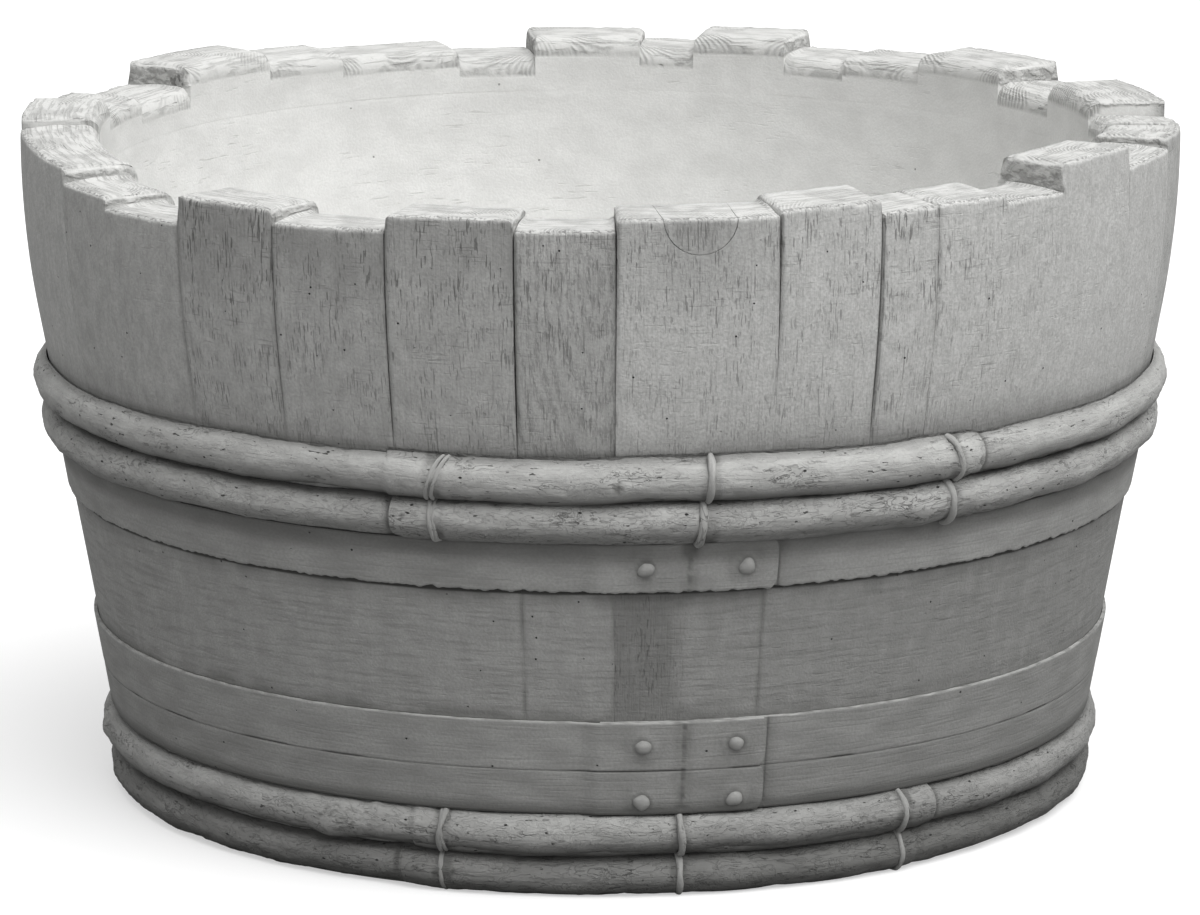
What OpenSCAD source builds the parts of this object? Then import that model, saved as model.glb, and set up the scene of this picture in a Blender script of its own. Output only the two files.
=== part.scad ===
// Planter in the form of a half barrel. Thick staves stand on their feet in a
// ring. Two pairs of round hoops, bound in pairs by ties, and three riveted flat
// bands hold them. Dowelled floor boards sit in a groove cut round the inside of
// the staves, and a smooth coat covers the inner wall and the floor.
// The origin is the middle of the foot. +Z is up and the front faces -Y. Places
// round the barrel are angles from the front, positive towards +X.

/* [Barrel] */
// Outer radius at the foot
foot_r = 368; // [350:1:385]
// Outer radius at the rim
rim_r = 447; // [435:1:465]
// Height of the tallest stave
rim_z = 532; // [520:1:560]
// Radius of the curve that turns the leaning staves upright
turn_r = 700; // [500:10:900]
// Height of the upright stretch below the tallest stave's top
upright_h = 29; // [12:1:60]

/* [Staves] */
// Thickness of the wall, which is a stave and its coat
wall_t = 62; // [54:1:70]
// Gap at the rim between two staves
stave_gap = 0.4; // [0.2:0.1:1.5]
// How far the lowest stave stops below the tallest one
stave_step = 39; // [10:1:45]
// Chamfer on the outer top edge of a stave
top_chamfer = 4; // [1:0.5:8]
// Rounding of the inner top edge of a stave
top_round = 14; // [4:1:18]

/* [Bung] */
// Radius of the bung plug, which the rim cuts in half
bung_r = 27; // [18:1:34]
// Angle of the bung plug from the front
bung_a = 9.3; // [7:0.1:12]
// Clearance round the bung plug
bung_gap = 0.2; // [0.1:0.1:0.6]

/* [Coat] */
// Thickness of the coat on the inner wall
coat_t = 18; // [10:1:24]
// Thickness of the coat on the floor
floor_coat_t = 20; // [12:1:30]
// How far the coat's upper edge lies below the rim
coat_drop = 56; // [50:1:90]
// Rounding between the inner wall and the floor
bowl_r = 40; // [15:1:60]

/* [Floor] */
// Height of the floor boards' underside
floor_z = 45; // [34:1:70]
// Thickness of the floor boards
board_t = 28; // [22:1:36]
// Number of floor boards
board_n = 5; // [3:2:7]
// Depth of the groove in the staves
groove_d = 10; // [6:1:14]
// Thickness of the boards' thinned edge
edge_t = 14; // [8:1:18]
// Width of the bevel that thins the edge
edge_bevel = 12; // [6:1:20]
// Clearance between two boards, and of the boards in the groove
board_gap = 0.5; // [0.2:0.1:1]
// Radius of the drain hole
drain_r = 20; // [10:1:30]
// Radius of a dowel between two boards
dowel_r = 5; // [3:0.5:7]
// Length of a dowel
dowel_l = 60; // [30:1:80]
// Distance of a dowel from the middle of the floor
dowel_x = 150; // [60:5:180]
// Clearance round a dowel
dowel_gap = 0.2; // [0.1:0.1:0.5]

/* [Hoops] */
// Radius of the upper hoops' rod
upper_hoop_r = 16; // [12:0.5:18]
// Radius of the lower hoops' rod
lower_hoop_r = 15.5; // [12:0.5:18]
// Height of the seam between the upper hoops
upper_seam_z = 307.8; // [300:0.1:320]
// Height of the lower hoops above the ground
lower_rise = 1.1; // [1:0.1:6]
// Depth of a hoop's middle inside the wall
hoop_sink = 3; // [1:0.5:6]
// Gap between the two hoops of a pair
hoop_gap = 0.6; // [0.3:0.1:1.5]
// Gap between the wall and a hoop or band
seat_gap = 0.2; // [0.1:0.1:0.5]
// Angle of the lap's left end
lap_left_a = -21; // [-24:0.5:-19]
// Angle of the lap's right end
lap_right_a = 40; // [38:0.5:48]
// How far a lapped end stands out
lap_proud = 1.5; // [0.5:0.5:3]
// Gap at the faces of a lap
lap_gap = 0.4; // [0.2:0.1:1]

/* [Ties] */
// Half the thickness of a tie where it shows
tie_r = 3.2; // [2:0.1:4]
// Thickness of a tie where it lies flat behind the hoops
tie_back_t = 3; // [2:0.5:4]
// Gap between a tie and what it binds
tie_gap = 0.1; // [0.1:0.1:0.5]
// Angles of the upper ties
upper_tie_a = [-16, 10.5, 36.5]; // [-18:0.5:38]
// Angles of the lower ties
lower_tie_a = [-17.5, 8.7, 35.5]; // [-18:0.5:38]

/* [Bands] */
// Thickness of a band
band_t = 3; // [2:0.5:5]
// Height of a band
band_h = 38; // [30:1:40]
// Height of the lowest band
low_band_h = 34; // [30:1:38]
// Gap between a band and the hoop or band beside it
band_gap = 0.6; // [0.3:0.1:2]
// Angle of the lap's hidden end
band_lap_from_a = 0; // [-3:0.5:2]
// Angle of the lap's outer end
band_lap_to_a = 18; // [17:0.5:24]
// Angle over which the strip steps out onto the lap
band_step_a = 1; // [0.5:0.1:2]
// How far the lapped end is trimmed at the band's edges
lap_inset = 0.3; // [0.2:0.1:1]

/* [Rivets] */
// Radius of a rivet's head
rivet_r = 7.5; // [5:0.5:9]
// Height of a rivet's head
rivet_h = 4; // [2:0.5:5]
// How far the lowest band's rivets sit below its middle
low_rivet_drop = 7; // [0:0.5:8]
// Radius of a rivet's shank
shank_r = 3.5; // [2:0.5:4]
// Clearance round a shank
shank_gap = 0.2; // [0.1:0.1:0.4]
// Angles of the rivets in a lap
rivet_a = [4.5, 14.6]; // [4:0.1:15]

/* [Hidden] */
$fn = 96;
// Each stave's share of the rim, and how far it stops below the tallest stave as
// a percentage of stave_step, from the left side over the front to the right side
// and round the back
staves = [
    [162, 31], [68, 79], [88, 100], [91, 46], [92, 69], [96, 38], [74, 56],
    [120, 36], [80, 21], [48, 41], [64, 41], [63, 54], [97, 0], [94, 44],
    [101, 23], [90, 44], [113, 31], [86, 67], [109, 28], [86, 54], [62, 62],
    [90, 26], [52, 56], [100, 33], [74, 74], [121, 54], [86, 41], [112, 21],
    [91, 69], [94, 51], [105, 23]
];
first_stave_a = -84.5;  // left edge of the first stave
bung_stave = 7;         // place in the list of the stave that holds the bung
stave_n = len(staves);
shares = stave_edge(stave_n);

// The outer wall is a cone that runs on, tangent, into a curve of radius turn_r
upright_z = rim_z - upright_h;
curve_x = rim_r - turn_r;
curve_d = norm([foot_r - curve_x, upright_z]);
lean = atan2(upright_z, foot_r - curve_x) - acos(turn_r / curve_d);
bend_z = upright_z - turn_r * sin(lean);
curve_steps = 6;
wall_z = [
    bend_z,
    for (i = [1 : curve_steps]) upright_z - turn_r * sin(lean * (1 - i / curve_steps))
];

stave_t = wall_t - coat_t;
coat_top_z = rim_z - coat_drop;
board_top_z = floor_z + board_t;
edge_mid_z = floor_z + board_t / 2;
bed_z = board_top_z + floor_coat_t;  // the floor that the soil lies on
groove_r = stave_inner_r(edge_mid_z) + groove_d;
board_r = groove_r - board_gap;
board_w = 2 * board_r / board_n;

lower_seam_z = lower_rise + lower_hoop_r + half_pair(lower_hoop_r);
slit_a = asin(lap_gap / foot_r);
double_tie = 0;  // the upper tie that is wound twice

hoops = ["hoop_1", "hoop_2", "hoop_3", "hoop_4"];
bands = ["band_upper", "band_middle", "band_lower"];
over = 1;               // how far a cutting shape reaches past what it cuts

function stave_name(i) = str("stave_", i < 9 ? "0" : "", i + 1);
function board_name(i) = str("floor_board_", i + 1);
function tie_name(i) = str(i < 3 ? "upper" : "lower", "_tie_", i % 3 + 1);

// Shares of the rim from the first stave to the edge of stave i
function stave_edge(i) = i == 0 ? 0 : stave_edge(i - 1) + staves[i - 1][0];
function stave_a(i) = first_stave_a + 360 * stave_edge(i) / shares;
function stave_top(i) = rim_z - stave_step * staves[i][1] / 100;

// Radius of the outer wall at height z, and of the faces within it
function outer_r(z) =
    z < bend_z ? foot_r + z * tan(lean)
    : z < upright_z ? curve_x + sqrt(pow(turn_r, 2) - pow(upright_z - z, 2))
    : rim_r;
function stave_inner_r(z) = outer_r(z) - stave_t;
function inner_r(z) = outer_r(z) - wall_t;

// Points up the outer wall between two heights, moved out by off
function wall_points(from_z, to_z, off) = [
    [outer_r(from_z) + off, from_z],
    for (z = wall_z) if (z > from_z && z < to_z) [outer_r(z) + off, z],
    [outer_r(to_z) + off, to_z]
];
function reversed(list) = [for (i = [len(list) - 1 : -1 : 0]) list[i]];

// Half the height of a pair of hoops between their middles
function half_pair(r) = (r + hoop_gap / 2) * cos(lean);
function hoop_r(i) = i < 2 ? upper_hoop_r : lower_hoop_r;
function hoop_z(i) = (i < 2 ? upper_seam_z : lower_seam_z)
    + (i % 2 == 0 ? 1 : -1) * half_pair(hoop_r(i));

// Lower and upper edge of a band: the upper one lies under the upper hoops, and
// the other two lie one on the other over the lower hoops
function band_low_z(i) =
    i == 0 ? hoop_z(1) - upper_hoop_r - band_gap - band_h
    : i == 1 ? band_low_z(2) + low_band_h + band_gap
    : hoop_z(2) + lower_hoop_r + band_gap;
function band_high_z(i) = band_low_z(i) + (i == 2 ? low_band_h : band_h);

// Turns a piece that lies along +X to an angle from the front
module at(angle) {
    rotate([0, 0, angle - 90]) children();
}

// Sweeps a section round the barrel from one angle to another
module sweep(from_a, to_a) {
    at(from_a) rotate_extrude(angle = to_a - from_a) children();
}

// Section of a full stave between its foot and its top
module stave_section(top) {
    edge = min(top_round, top - coat_top_z - over);
    top_r = inner_r(top);
    polygon(concat(
        wall_points(0, top - top_chamfer, 0),
        [[outer_r(top) - top_chamfer, top]],
        [for (a = [90 : 22.5 : 180]) [top_r + edge + edge * cos(a), top - edge + edge * sin(a)]],
        [[inner_r(coat_top_z), coat_top_z]],
        reversed(wall_points(0, coat_top_z, -stave_t))
    ));
}

module stave_body(i) {
    gap_a = asin(stave_gap / 2 / rim_r);
    difference() {
        sweep(stave_a(i) + gap_a, stave_a(i + 1) - gap_a) stave_section(stave_top(i));
        floor_groove();
    }
}

// Groove that holds the edge of the floor boards
module floor_groove() {
    groove_h = edge_t + board_gap;
    rotate_extrude()
        translate([groove_r - 2 * groove_d, edge_mid_z - groove_h / 2])
            square([2 * groove_d, groove_h]);
}

// Round bar through the wall, from which the bung and its seat are cut
module bung_bar(r) {
    at(bung_a) translate([0, 0, stave_top(bung_stave)])
        rotate([0, 90, 0]) cylinder(r = r, h = rim_r + over);
}

module stave(i) {
    color("#a6a6a3") difference() {
        stave_body(i);
        if (i == bung_stave) bung_bar(bung_r + bung_gap);
    }
}

module bung_plug() {
    color("#b2b2af") intersection() {
        stave_body(bung_stave);
        bung_bar(bung_r);
    }
}

// Smooth coat over the inner wall and the floor boards, round the drain hole
module inner_coat() {
    arc_z = bed_z + bowl_r;
    arc_x = inner_r(arc_z) - bowl_r / cos(lean);
    arc_steps = 6;
    color("#d8d8d6") rotate_extrude() polygon(concat(
        [[drain_r, board_top_z]],
        wall_points(board_top_z, coat_top_z, -stave_t),
        reversed(wall_points(arc_z, coat_top_z, -wall_t)),
        [for (i = [0 : arc_steps])
            let (a = -lean - (90 - lean) * i / arc_steps)
            [arc_x + bowl_r * cos(a), arc_z + bowl_r * sin(a)]],
        [[drain_r, bed_z]]
    ));
}

// The floor in one piece, with its edge thinned for the groove
module floor_disc() {
    body_r = stave_inner_r(floor_z) - board_gap;
    rotate_extrude() polygon([
        [0, floor_z], [body_r - edge_bevel, floor_z],
        [body_r, edge_mid_z - edge_t / 2], [board_r, edge_mid_z - edge_t / 2],
        [board_r, edge_mid_z + edge_t / 2], [body_r, edge_mid_z + edge_t / 2],
        [body_r - edge_bevel, board_top_z], [0, board_top_z]
    ]);
}

// Dowels across the joints between the boards
module dowel_rods(r, l) {
    for (joint = [1 : board_n - 1], side = [-1, 1])
        translate([side * dowel_x, joint * board_w - board_r - l / 2, edge_mid_z])
            rotate([-90, 0, 0]) cylinder(r = r, h = l);
}

module floor_board(i) {
    color("#9c9c99") difference() {
        intersection() {
            floor_disc();
            translate([-board_r - over, i * board_w - board_r + board_gap / 2, 0])
                cube([2 * (board_r + over), board_w - board_gap, board_top_z + over]);
        }
        dowel_rods(dowel_r + dowel_gap, dowel_l + 2 * dowel_gap);
        cylinder(r = drain_r, h = board_top_z + over);
    }
}

module board_dowels() {
    color("#8f8f8c") dowel_rods(dowel_r, dowel_l);
}

// Round section of a hoop with its middle moved out by shift. Only what lies
// further than depth above the wall is kept.
module hoop_section(i, shift, depth) {
    r = hoop_r(i);
    z = hoop_z(i);
    intersection() {
        translate([outer_r(z) - hoop_sink + shift, z]) circle(r = r);
        layer_section(z - r - over, z + r + over, depth, 3 * r);
    }
}

// Section between two heights and two depths above the wall
module layer_section(low_z, high_z, depth_from, depth_to) {
    polygon(concat(
        wall_points(low_z, high_z, depth_from),
        reversed(wall_points(low_z, high_z, depth_to))
    ));
}

// Slit that parts the two ends of a lapped strip or rod: between the layers, and
// across each layer where it ends
module lap_slit(low_z, high_z, left_a, right_a, outer_end_right, depth) {
    mid = depth + lap_gap / 2;
    outer_a = outer_end_right ? right_a - slit_a : left_a;
    inner_a = outer_end_right ? left_a : right_a - slit_a;
    sweep(left_a + slit_a / 2, right_a - slit_a / 2)
        layer_section(low_z, high_z, depth, depth + lap_gap);
    sweep(outer_a, outer_a + slit_a) layer_section(low_z, high_z, mid, 2 * upper_hoop_r);
    sweep(inner_a, inner_a + slit_a) layer_section(low_z, high_z, -over, mid);
}

// A hoop is one rod whose ends are halved and lapped, the outer end to the right
// on the upper hoop of a pair and to the left on the lower hoop
module hoop(i) {
    right = i % 2 == 0;
    low_z = hoop_z(i) - hoop_r(i) - over;
    high_z = hoop_z(i) + hoop_r(i) + over;
    lap_depth = (hoop_r(i) - hoop_sink) / 2;
    color("#b0b0ad") difference() {
        union() {
            rotate_extrude() hoop_section(i, 0, seat_gap);
            sweep(lap_left_a + (right ? -1 : slit_a / 2), lap_right_a + (right ? -slit_a / 2 : 1))
                hoop_section(i, lap_proud, seat_gap + over);
        }
        lap_slit(low_z, high_z, lap_left_a, lap_right_a, right, lap_depth);
        for (t = pair_ties(i)) tie_plate(t, tie_gap)
            layer_section(low_z, high_z, 0, seat_gap + tie_back_t + tie_gap);
    }
}

// The ties round the pair that hoop i belongs to
function pair_ties(i) = i < 2 ? [0, 1, 2] : [3, 4, 5];
function tie_a(t) = t < 3 ? upper_tie_a[t] : lower_tie_a[t - 3];
function tie_pair(t) = t < 3 ? [0, 1] : [2, 3];

// Gives a side profile the width of a tie, with a gap on each side
module tie_plate(t, gap) {
    width = (t == double_tie ? 4 : 2) * tie_r + 2 * gap;
    at(tie_a(t)) rotate([90, 0, 0]) linear_extrude(width, center = true) children();
}

// Discs round the middles of the two hoops that a tie binds, outside the wall
module tie_discs(t, extra_r, depth) {
    r = hoop_r(tie_pair(t)[0]);
    intersection() {
        for (i = tie_pair(t))
            translate([outer_r(hoop_z(i)) - hoop_sink + lap_proud, hoop_z(i)]) circle(r = r + extra_r);
        layer_section(lower_rise, rim_z, depth, 4 * r);
    }
}

// A tie is a closed loop: up the wall behind a pair of hoops, and bent round the
// outside of each. The first one is doubled.
module tie_loop(t, gap) {
    tie_plate(t, gap) difference() {
        tie_discs(t, tie_gap + 2 * tie_r + gap, seat_gap - gap);
        tie_discs(t, tie_gap - gap, seat_gap + tie_back_t + gap);
    }
}

module tie(t) {
    color("#bcbcb9") tie_loop(t, 0);
}

// A band is one strip. It steps out before it meets its own hidden end, laps
// over it and is riveted through both layers.
module band(i) {
    low_z = band_low_z(i);
    high_z = band_high_z(i);
    under = seat_gap + band_t;
    slit_depth = under - lap_gap / 4;  // it trims the layer below a little
    outside = slit_depth + lap_gap + band_t;
    color("#949491") difference() {
        union() {
            rotate_extrude() layer_section(low_z, high_z, seat_gap, under);
            sweep(band_lap_from_a - band_step_a, band_lap_to_a)
                layer_section(low_z + lap_inset, high_z - lap_inset, under - band_t / 2, outside);
        }
        lap_slit(low_z - over, high_z + over, band_lap_from_a, band_lap_to_a + 1, true, slit_depth);
        for (a = rivet_a) rivet_axis(i, a) cylinder(r = shank_r + shank_gap, h = outside + over);
        for (t = band_ties(i)) tie_loop(t, tie_gap);
    }
}

// The ties that reach over the edge of a band
function band_ties(i) = i == 0 ? [0, 1, 2] : i == 2 ? [3, 4, 5] : [];

// Puts +Z along a rivet of band i, out of the wall
module rivet_axis(i, angle) {
    z = (band_low_z(i) + band_high_z(i)) / 2 - (i == 2 ? low_rivet_drop : 0);
    at(angle) translate([outer_r(z), 0, z]) rotate([0, 90 + lean, 0]) children();
}

// Rivets with domed heads, two through each lap
module band_rivets() {
    seat = (seat_gap + 0.75 * lap_gap + 2 * band_t) * cos(lean) + seat_gap;
    dome_r = (pow(rivet_r, 2) + pow(rivet_h, 2)) / (2 * rivet_h);
    color("#b4b4b1") for (i = [0 : 2], a = rivet_a) rivet_axis(i, a) {
        translate([0, 0, seat_gap]) cylinder(r = shank_r, h = seat);
        translate([0, 0, seat]) intersection() {
            translate([0, 0, rivet_h - dome_r]) sphere(r = dome_r);
            cylinder(r = rivet_r + over, h = rivet_h + over);
        }
    }
}

for (i = [0 : stave_n - 1])
    stave(i);
bung_plug();
inner_coat();
for (i = [0 : board_n - 1])
    floor_board(i);
board_dowels();
for (i = [0 : 3])
    hoop(i);
for (t = [0 : 5])
    tie(t);
for (i = [0 : 2])
    band(i);
band_rivets();
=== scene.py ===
"""Finish of the barrel planter: every piece is modelled in cast stone over the packed CAD frame."""
import math
import random

import bmesh
import bpy
from bpy.props import FloatProperty, FloatVectorProperty, IntProperty, PointerProperty
from bpy.types import Operator, Panel, PropertyGroup
from mathutils import Matrix, Vector, noise


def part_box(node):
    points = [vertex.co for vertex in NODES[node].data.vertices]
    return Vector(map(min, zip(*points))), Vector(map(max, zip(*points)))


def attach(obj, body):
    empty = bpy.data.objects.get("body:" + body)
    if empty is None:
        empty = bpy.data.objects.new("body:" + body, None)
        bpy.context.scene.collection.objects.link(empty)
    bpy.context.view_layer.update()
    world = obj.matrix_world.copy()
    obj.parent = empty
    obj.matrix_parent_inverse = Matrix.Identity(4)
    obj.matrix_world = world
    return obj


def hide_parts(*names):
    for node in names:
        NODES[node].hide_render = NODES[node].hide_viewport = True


bl_info = {
    "name": "Barrel planter finish",
    "version": (1, 0, 0),
    "blender": (4, 5, 0),
    "location": "3D View > Sidebar > Planter",
    "description": "Models the barrel planter's staves, hoops, ties, bands, rivets and coat in cast stone",
    "category": "Object",
}

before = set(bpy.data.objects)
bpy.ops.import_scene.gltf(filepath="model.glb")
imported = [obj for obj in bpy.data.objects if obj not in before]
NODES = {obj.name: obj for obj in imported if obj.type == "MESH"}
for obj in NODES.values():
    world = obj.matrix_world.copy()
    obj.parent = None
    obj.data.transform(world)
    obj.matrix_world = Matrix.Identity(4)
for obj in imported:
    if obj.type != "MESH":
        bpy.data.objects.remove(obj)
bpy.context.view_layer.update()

MM = 0.001
STAVES = sorted(name for name in NODES if name.startswith("stave_"))
RIM_Z = max(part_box(name)[1].z for name in STAVES)
RIM_R = max(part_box(name)[1].x for name in STAVES)
BUNG_STAVE = "stave_08"
BUNG_ANGLE = math.radians(9.3)
SEAM_ANGLE = math.radians(8.9)  # the mould's seam down the front
SHADED_ANGLE = math.radians(65)  # the middle of the right side, given painted shade to tone down the lamp's light there


def linear(hex_colour):
    """Linear RGB of an sRGB hex colour"""
    parts = [int(hex_colour[i:i + 2], 16) / 255 for i in (1, 3, 5)]
    return [p / 12.92 if p <= 0.04045 else ((p + 0.055) / 1.055) ** 2.4 for p in parts]


def length_prop(name, default, description):
    """A length in metres that the sidebar shows in the scene's units"""
    return FloatProperty(name=name, default=default, description=description, unit="LENGTH", precision=4)


def colour_prop(name, default, description):
    """A colour, given as sRGB hex"""
    return FloatVectorProperty(
        name=name, default=linear(default), description=description, subtype="COLOR", size=3, min=0, max=1
    )


class BarrelSizes(PropertyGroup):
    """The barrel's wall, as in the CAD model"""

    foot: length_prop("Foot radius", 368 * MM, "Outer radius at the foot")
    rim: length_prop("Rim radius", RIM_R, "Outer radius at the rim")
    turn: length_prop("Turn radius", 700 * MM, "Radius of the curve that turns the wall upright")
    upright: length_prop("Upright height", 29 * MM, "Height of the upright stretch below the rim")
    wall: length_prop("Wall", 62 * MM, "Thickness of a stave with its coat")
    coat: length_prop("Coat", 18 * MM, "Thickness of the coat")
    coat_top: length_prop("Coat's edge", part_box("inner_coat")[1].z, "Height of the coat's upper edge")


class StaveLook(PropertyGroup):
    """Wear and colours of the staves"""

    edge: length_prop("Edge wear", 3 * MM, "Rounding of the worn outer top edge")
    inner_edge: length_prop("Inner edge", 14 * MM, "Rounding of the inner top edge")
    chip: length_prop("Chips", 2.0 * MM, "Depth of the chips along the top edges")
    light: colour_prop("Light face", "#b7b7b5", "Weathered face of a stave, light patches")
    dark: colour_prop("Dark face", "#a5a5a3", "Weathered face of a stave, dark patches")
    pore: colour_prop("Pores", "#5c5c5a", "Pores of the grain and open joints")
    # Laid as grime, and as painted shadow under the upper band and painted shade on bared sides and on the right of
    # the low zone
    grime_and_shade: colour_prop("Soil", "#6b6b69", "Grime below the rim, over the hoops and under the bands")
    top: colour_prop("Tops", "#bebebc", "Rubbed tops of the staves")


class HoopLook(PropertyGroup):
    """Relief and colours of the hoops and ties"""

    wave: length_prop("Wave", 1.6 * MM, "How far a hoop wanders up and down")
    bark: length_prop("Bark", 1.3 * MM, "Height of the bark's relief")
    strand: length_prop("Strand", 2.7 * MM, "Radius of a tie's strand")
    light: colour_prop("Light bark", "#b0b0ae", "Raised parts of the bark")
    dark: colour_prop("Dark bark", "#9a9a98", "Low parts of the bark")
    # Its colour in the groove between two hoops and under them is painted shade
    pit: colour_prop("Pits", "#4e4e4c", "Pits, cracks and the groove between two hoops")


class BandLook(PropertyGroup):
    """Shape and colours of the bands and rivets"""

    thick: length_prop("Thickness", 3 * MM, "Thickness of a band")
    ragged: length_prop("Ragged edge", 2.2 * MM, "How far a band's edge wanders")
    light: colour_prop("Light band", "#a0a09e", "Light patches of the bands")
    dark: colour_prop("Dark band", "#8a8a88", "Dark patches of the bands")
    rivet: colour_prop("Rivets", "#a2a2a0", "Rubbed heads of the rivets")


class CoatLook(PropertyGroup):
    """Colours of the inner coat and the floor"""

    light: colour_prop("Light coat", "#dadad8", "Smoothed inner wall")
    dark: colour_prop("Dark coat", "#cececc", "Trowel marks on the inner wall")
    floor: colour_prop("Floor boards", "#959593", "Underside of the floor")


class StageLook(PropertyGroup):
    """Camera, lamps and ground"""

    ground: colour_prop("Ground", "#fafafa", "Pale floor, as the camera sees it")
    bounce: colour_prop("Bounce", "#888888", "Pale floor, as it lights the planter")
    key: FloatProperty(name="Key light", default=3.3, description="Strength of the soft main lamp")
    spread: FloatProperty(
        name="Key spread", default=math.radians(60), description="How wide the main lamp is", subtype="ANGLE"
    )
    zenith: FloatProperty(name="Sky above", default=1.0, description="Strength of the light from overhead")
    horizon: FloatProperty(name="Sky aside", default=0.2, description="Strength of the light from the sides")
    lens: FloatProperty(name="Lens", default=211.8, description="Focal length in mm on a 36 mm sensor")
    segments: IntProperty(name="Round segments", default=40, description="Sides of a hoop's section")


# ---- small helpers -------------------------------------------------------------------------------

def ramp(low, high, value):
    """0 below low, 1 above high, with a smooth rise between"""
    t = min(max((value - low) / (high - low), 0.0), 1.0)
    return t * t * (3 - 2 * t)


def field(x, y, z, size):
    """Smooth noise from about -1 to 1 with features of the given size"""
    return noise.noise(Vector((x, y, z)) / size)


def polar(radius, angle, z):
    """A point at an angle from the front, positive towards +X"""
    return Vector((radius * math.sin(angle), -radius * math.cos(angle), z))


def turn_from(start, angle):
    """The turn from one angle to another, within half a turn either way"""
    return (angle - start + math.pi) % (2 * math.pi) - math.pi


def polar_of(point, about=0.0):
    """Radius, angle within half a turn of `about`, and height of a point"""
    angle = math.atan2(point.x, -point.y)
    return math.hypot(point.x, point.y), about + turn_from(about, angle), point.z


def shaded_side(angle, unshaded):
    """1 in the middle of the right side, where painted shade tones down the lamp's light, falling to 0
    where the cosine of the turn from there drops to the given value
    """
    return ramp(unshaded, 1.0, math.cos(angle - SHADED_ANGLE))


def crowd(t, amount=0.85):
    """Moves evenly spaced values towards both ends, where an edge needs more points"""
    return t - amount * math.sin(2 * math.pi * t) / (2 * math.pi)


def round_edge(a, b, radius):
    """Rounds the edge where two depths a and b below two faces are both small"""
    if a >= radius or b >= radius:
        return a, b
    across, down = radius - a, radius - b
    reach = math.hypot(across, down)
    if reach <= radius:
        return a, b
    return radius - across * radius / reach, radius - down * radius / reach


class Wall:
    """The outer wall: a cone that runs on, tangent, into a curve and then stands upright"""

    def __init__(self):
        sizes = bpy.context.scene.planter_barrel
        self.foot, self.rim, self.turn = sizes.foot, sizes.rim, sizes.turn
        self.thick, self.coat, self.coat_top = sizes.wall, sizes.coat, sizes.coat_top
        self.upright_z = RIM_Z - sizes.upright
        self.curve_x = self.rim - self.turn
        reach = math.hypot(self.foot - self.curve_x, self.upright_z)
        self.lean = math.atan2(self.upright_z, self.foot - self.curve_x) - math.acos(self.turn / reach)
        self.bend_z = self.upright_z - self.turn * math.sin(self.lean)

    def radius(self, z):
        if z < self.bend_z:
            return self.foot + z * math.tan(self.lean)
        if z < self.upright_z:
            return self.curve_x + math.sqrt(self.turn ** 2 - (self.upright_z - z) ** 2)
        return self.rim

    def inner(self, angle, z):
        """Radius of the inner face, which trowelling left a little uneven"""
        x, y = math.sin(angle), math.cos(angle)
        uneven = 0.8 * MM * field(x, y, z * 2.4, 0.2) + 0.35 * MM * field(x, y, z * 2.4 + 5, 0.07)
        return self.radius(z) - self.thick + uneven


def block(counts):
    """A box cut into a grid on all sides, as a bmesh with corners at 0 and 1"""
    bm = bmesh.new()
    bmesh.ops.create_cube(bm, size=1.0)
    bmesh.ops.translate(bm, verts=bm.verts, vec=(0.5, 0.5, 0.5))
    for axis, count in enumerate(counts):
        along = [e for e in bm.edges if abs(e.verts[0].co[axis] - e.verts[1].co[axis]) > 0.5]
        bmesh.ops.subdivide_edges(bm, edges=along, cuts=count - 1, use_grid_fill=True)
    return bm


def rod(radius, length, segments, steps, end_round):
    """A straight rod with rounded ends, along +Z from the origin"""
    bm = bmesh.new()
    bmesh.ops.create_cone(
        bm, cap_ends=True, segments=segments, radius1=radius, radius2=radius, depth=length
    )
    bmesh.ops.translate(bm, verts=bm.verts, vec=(0, 0, length / 2))
    rims = [e for e in bm.edges if abs(e.verts[0].co.z - e.verts[1].co.z) < 1e-6]
    bmesh.ops.bevel(
        bm, geom=rims, offset=end_round, segments=2, affect="EDGES", profile=0.5, material=-1
    )
    sides = [e for e in bm.edges if abs(e.verts[0].co.z - e.verts[1].co.z) > length / 2]
    bmesh.ops.subdivide_edges(bm, edges=sides, cuts=steps - 1, use_grid_fill=True)
    return bm


def keep(bm, names, rows):
    """Keeps some named vectors for each vertex, for the materials to read"""
    for name, values in zip(names, zip(*rows)):
        layer = bm.verts.layers.float_vector.get(name) or bm.verts.layers.float_vector.new(name)
        for vert, value in zip(bm.verts, values):
            vert[layer] = value


def join(bm, part):
    """Moves a finished part, with its attributes, into a bmesh"""
    mesh = bpy.data.meshes.new("part")
    part.to_mesh(mesh)
    part.free()
    bm.from_mesh(mesh)
    bpy.data.meshes.remove(mesh)


def make_object(bm, name, material, stands_for, crease=50):
    """Turns a finished bmesh into a piece that rides on the planter and stands for its CAD node"""
    bmesh.ops.recalc_face_normals(bm, faces=bm.faces)
    mesh = bpy.data.meshes.new(name)
    bm.to_mesh(mesh)
    bm.free()
    mesh.shade_smooth()
    mesh.set_sharp_from_angle(angle=math.radians(crease))
    mesh.materials.append(material)
    piece = bpy.data.objects.new(name, mesh)
    bpy.context.scene.collection.objects.link(piece)
    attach(piece, "root")
    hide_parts(*stands_for)
    return piece


# ---- materials -----------------------------------------------------------------------------------
# The patterns' sizes are in mm. Sand, pores and fibres are about 0.5 mm wide on the real casting,
# which is too fine for the render, so they are drawn two to four times as coarse.

def new_material(name):
    """An empty material and its node tree"""
    material = bpy.data.materials.get(name) or bpy.data.materials.new(name)
    material.use_nodes = True
    material.node_tree.nodes.clear()
    return material, material.node_tree


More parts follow.
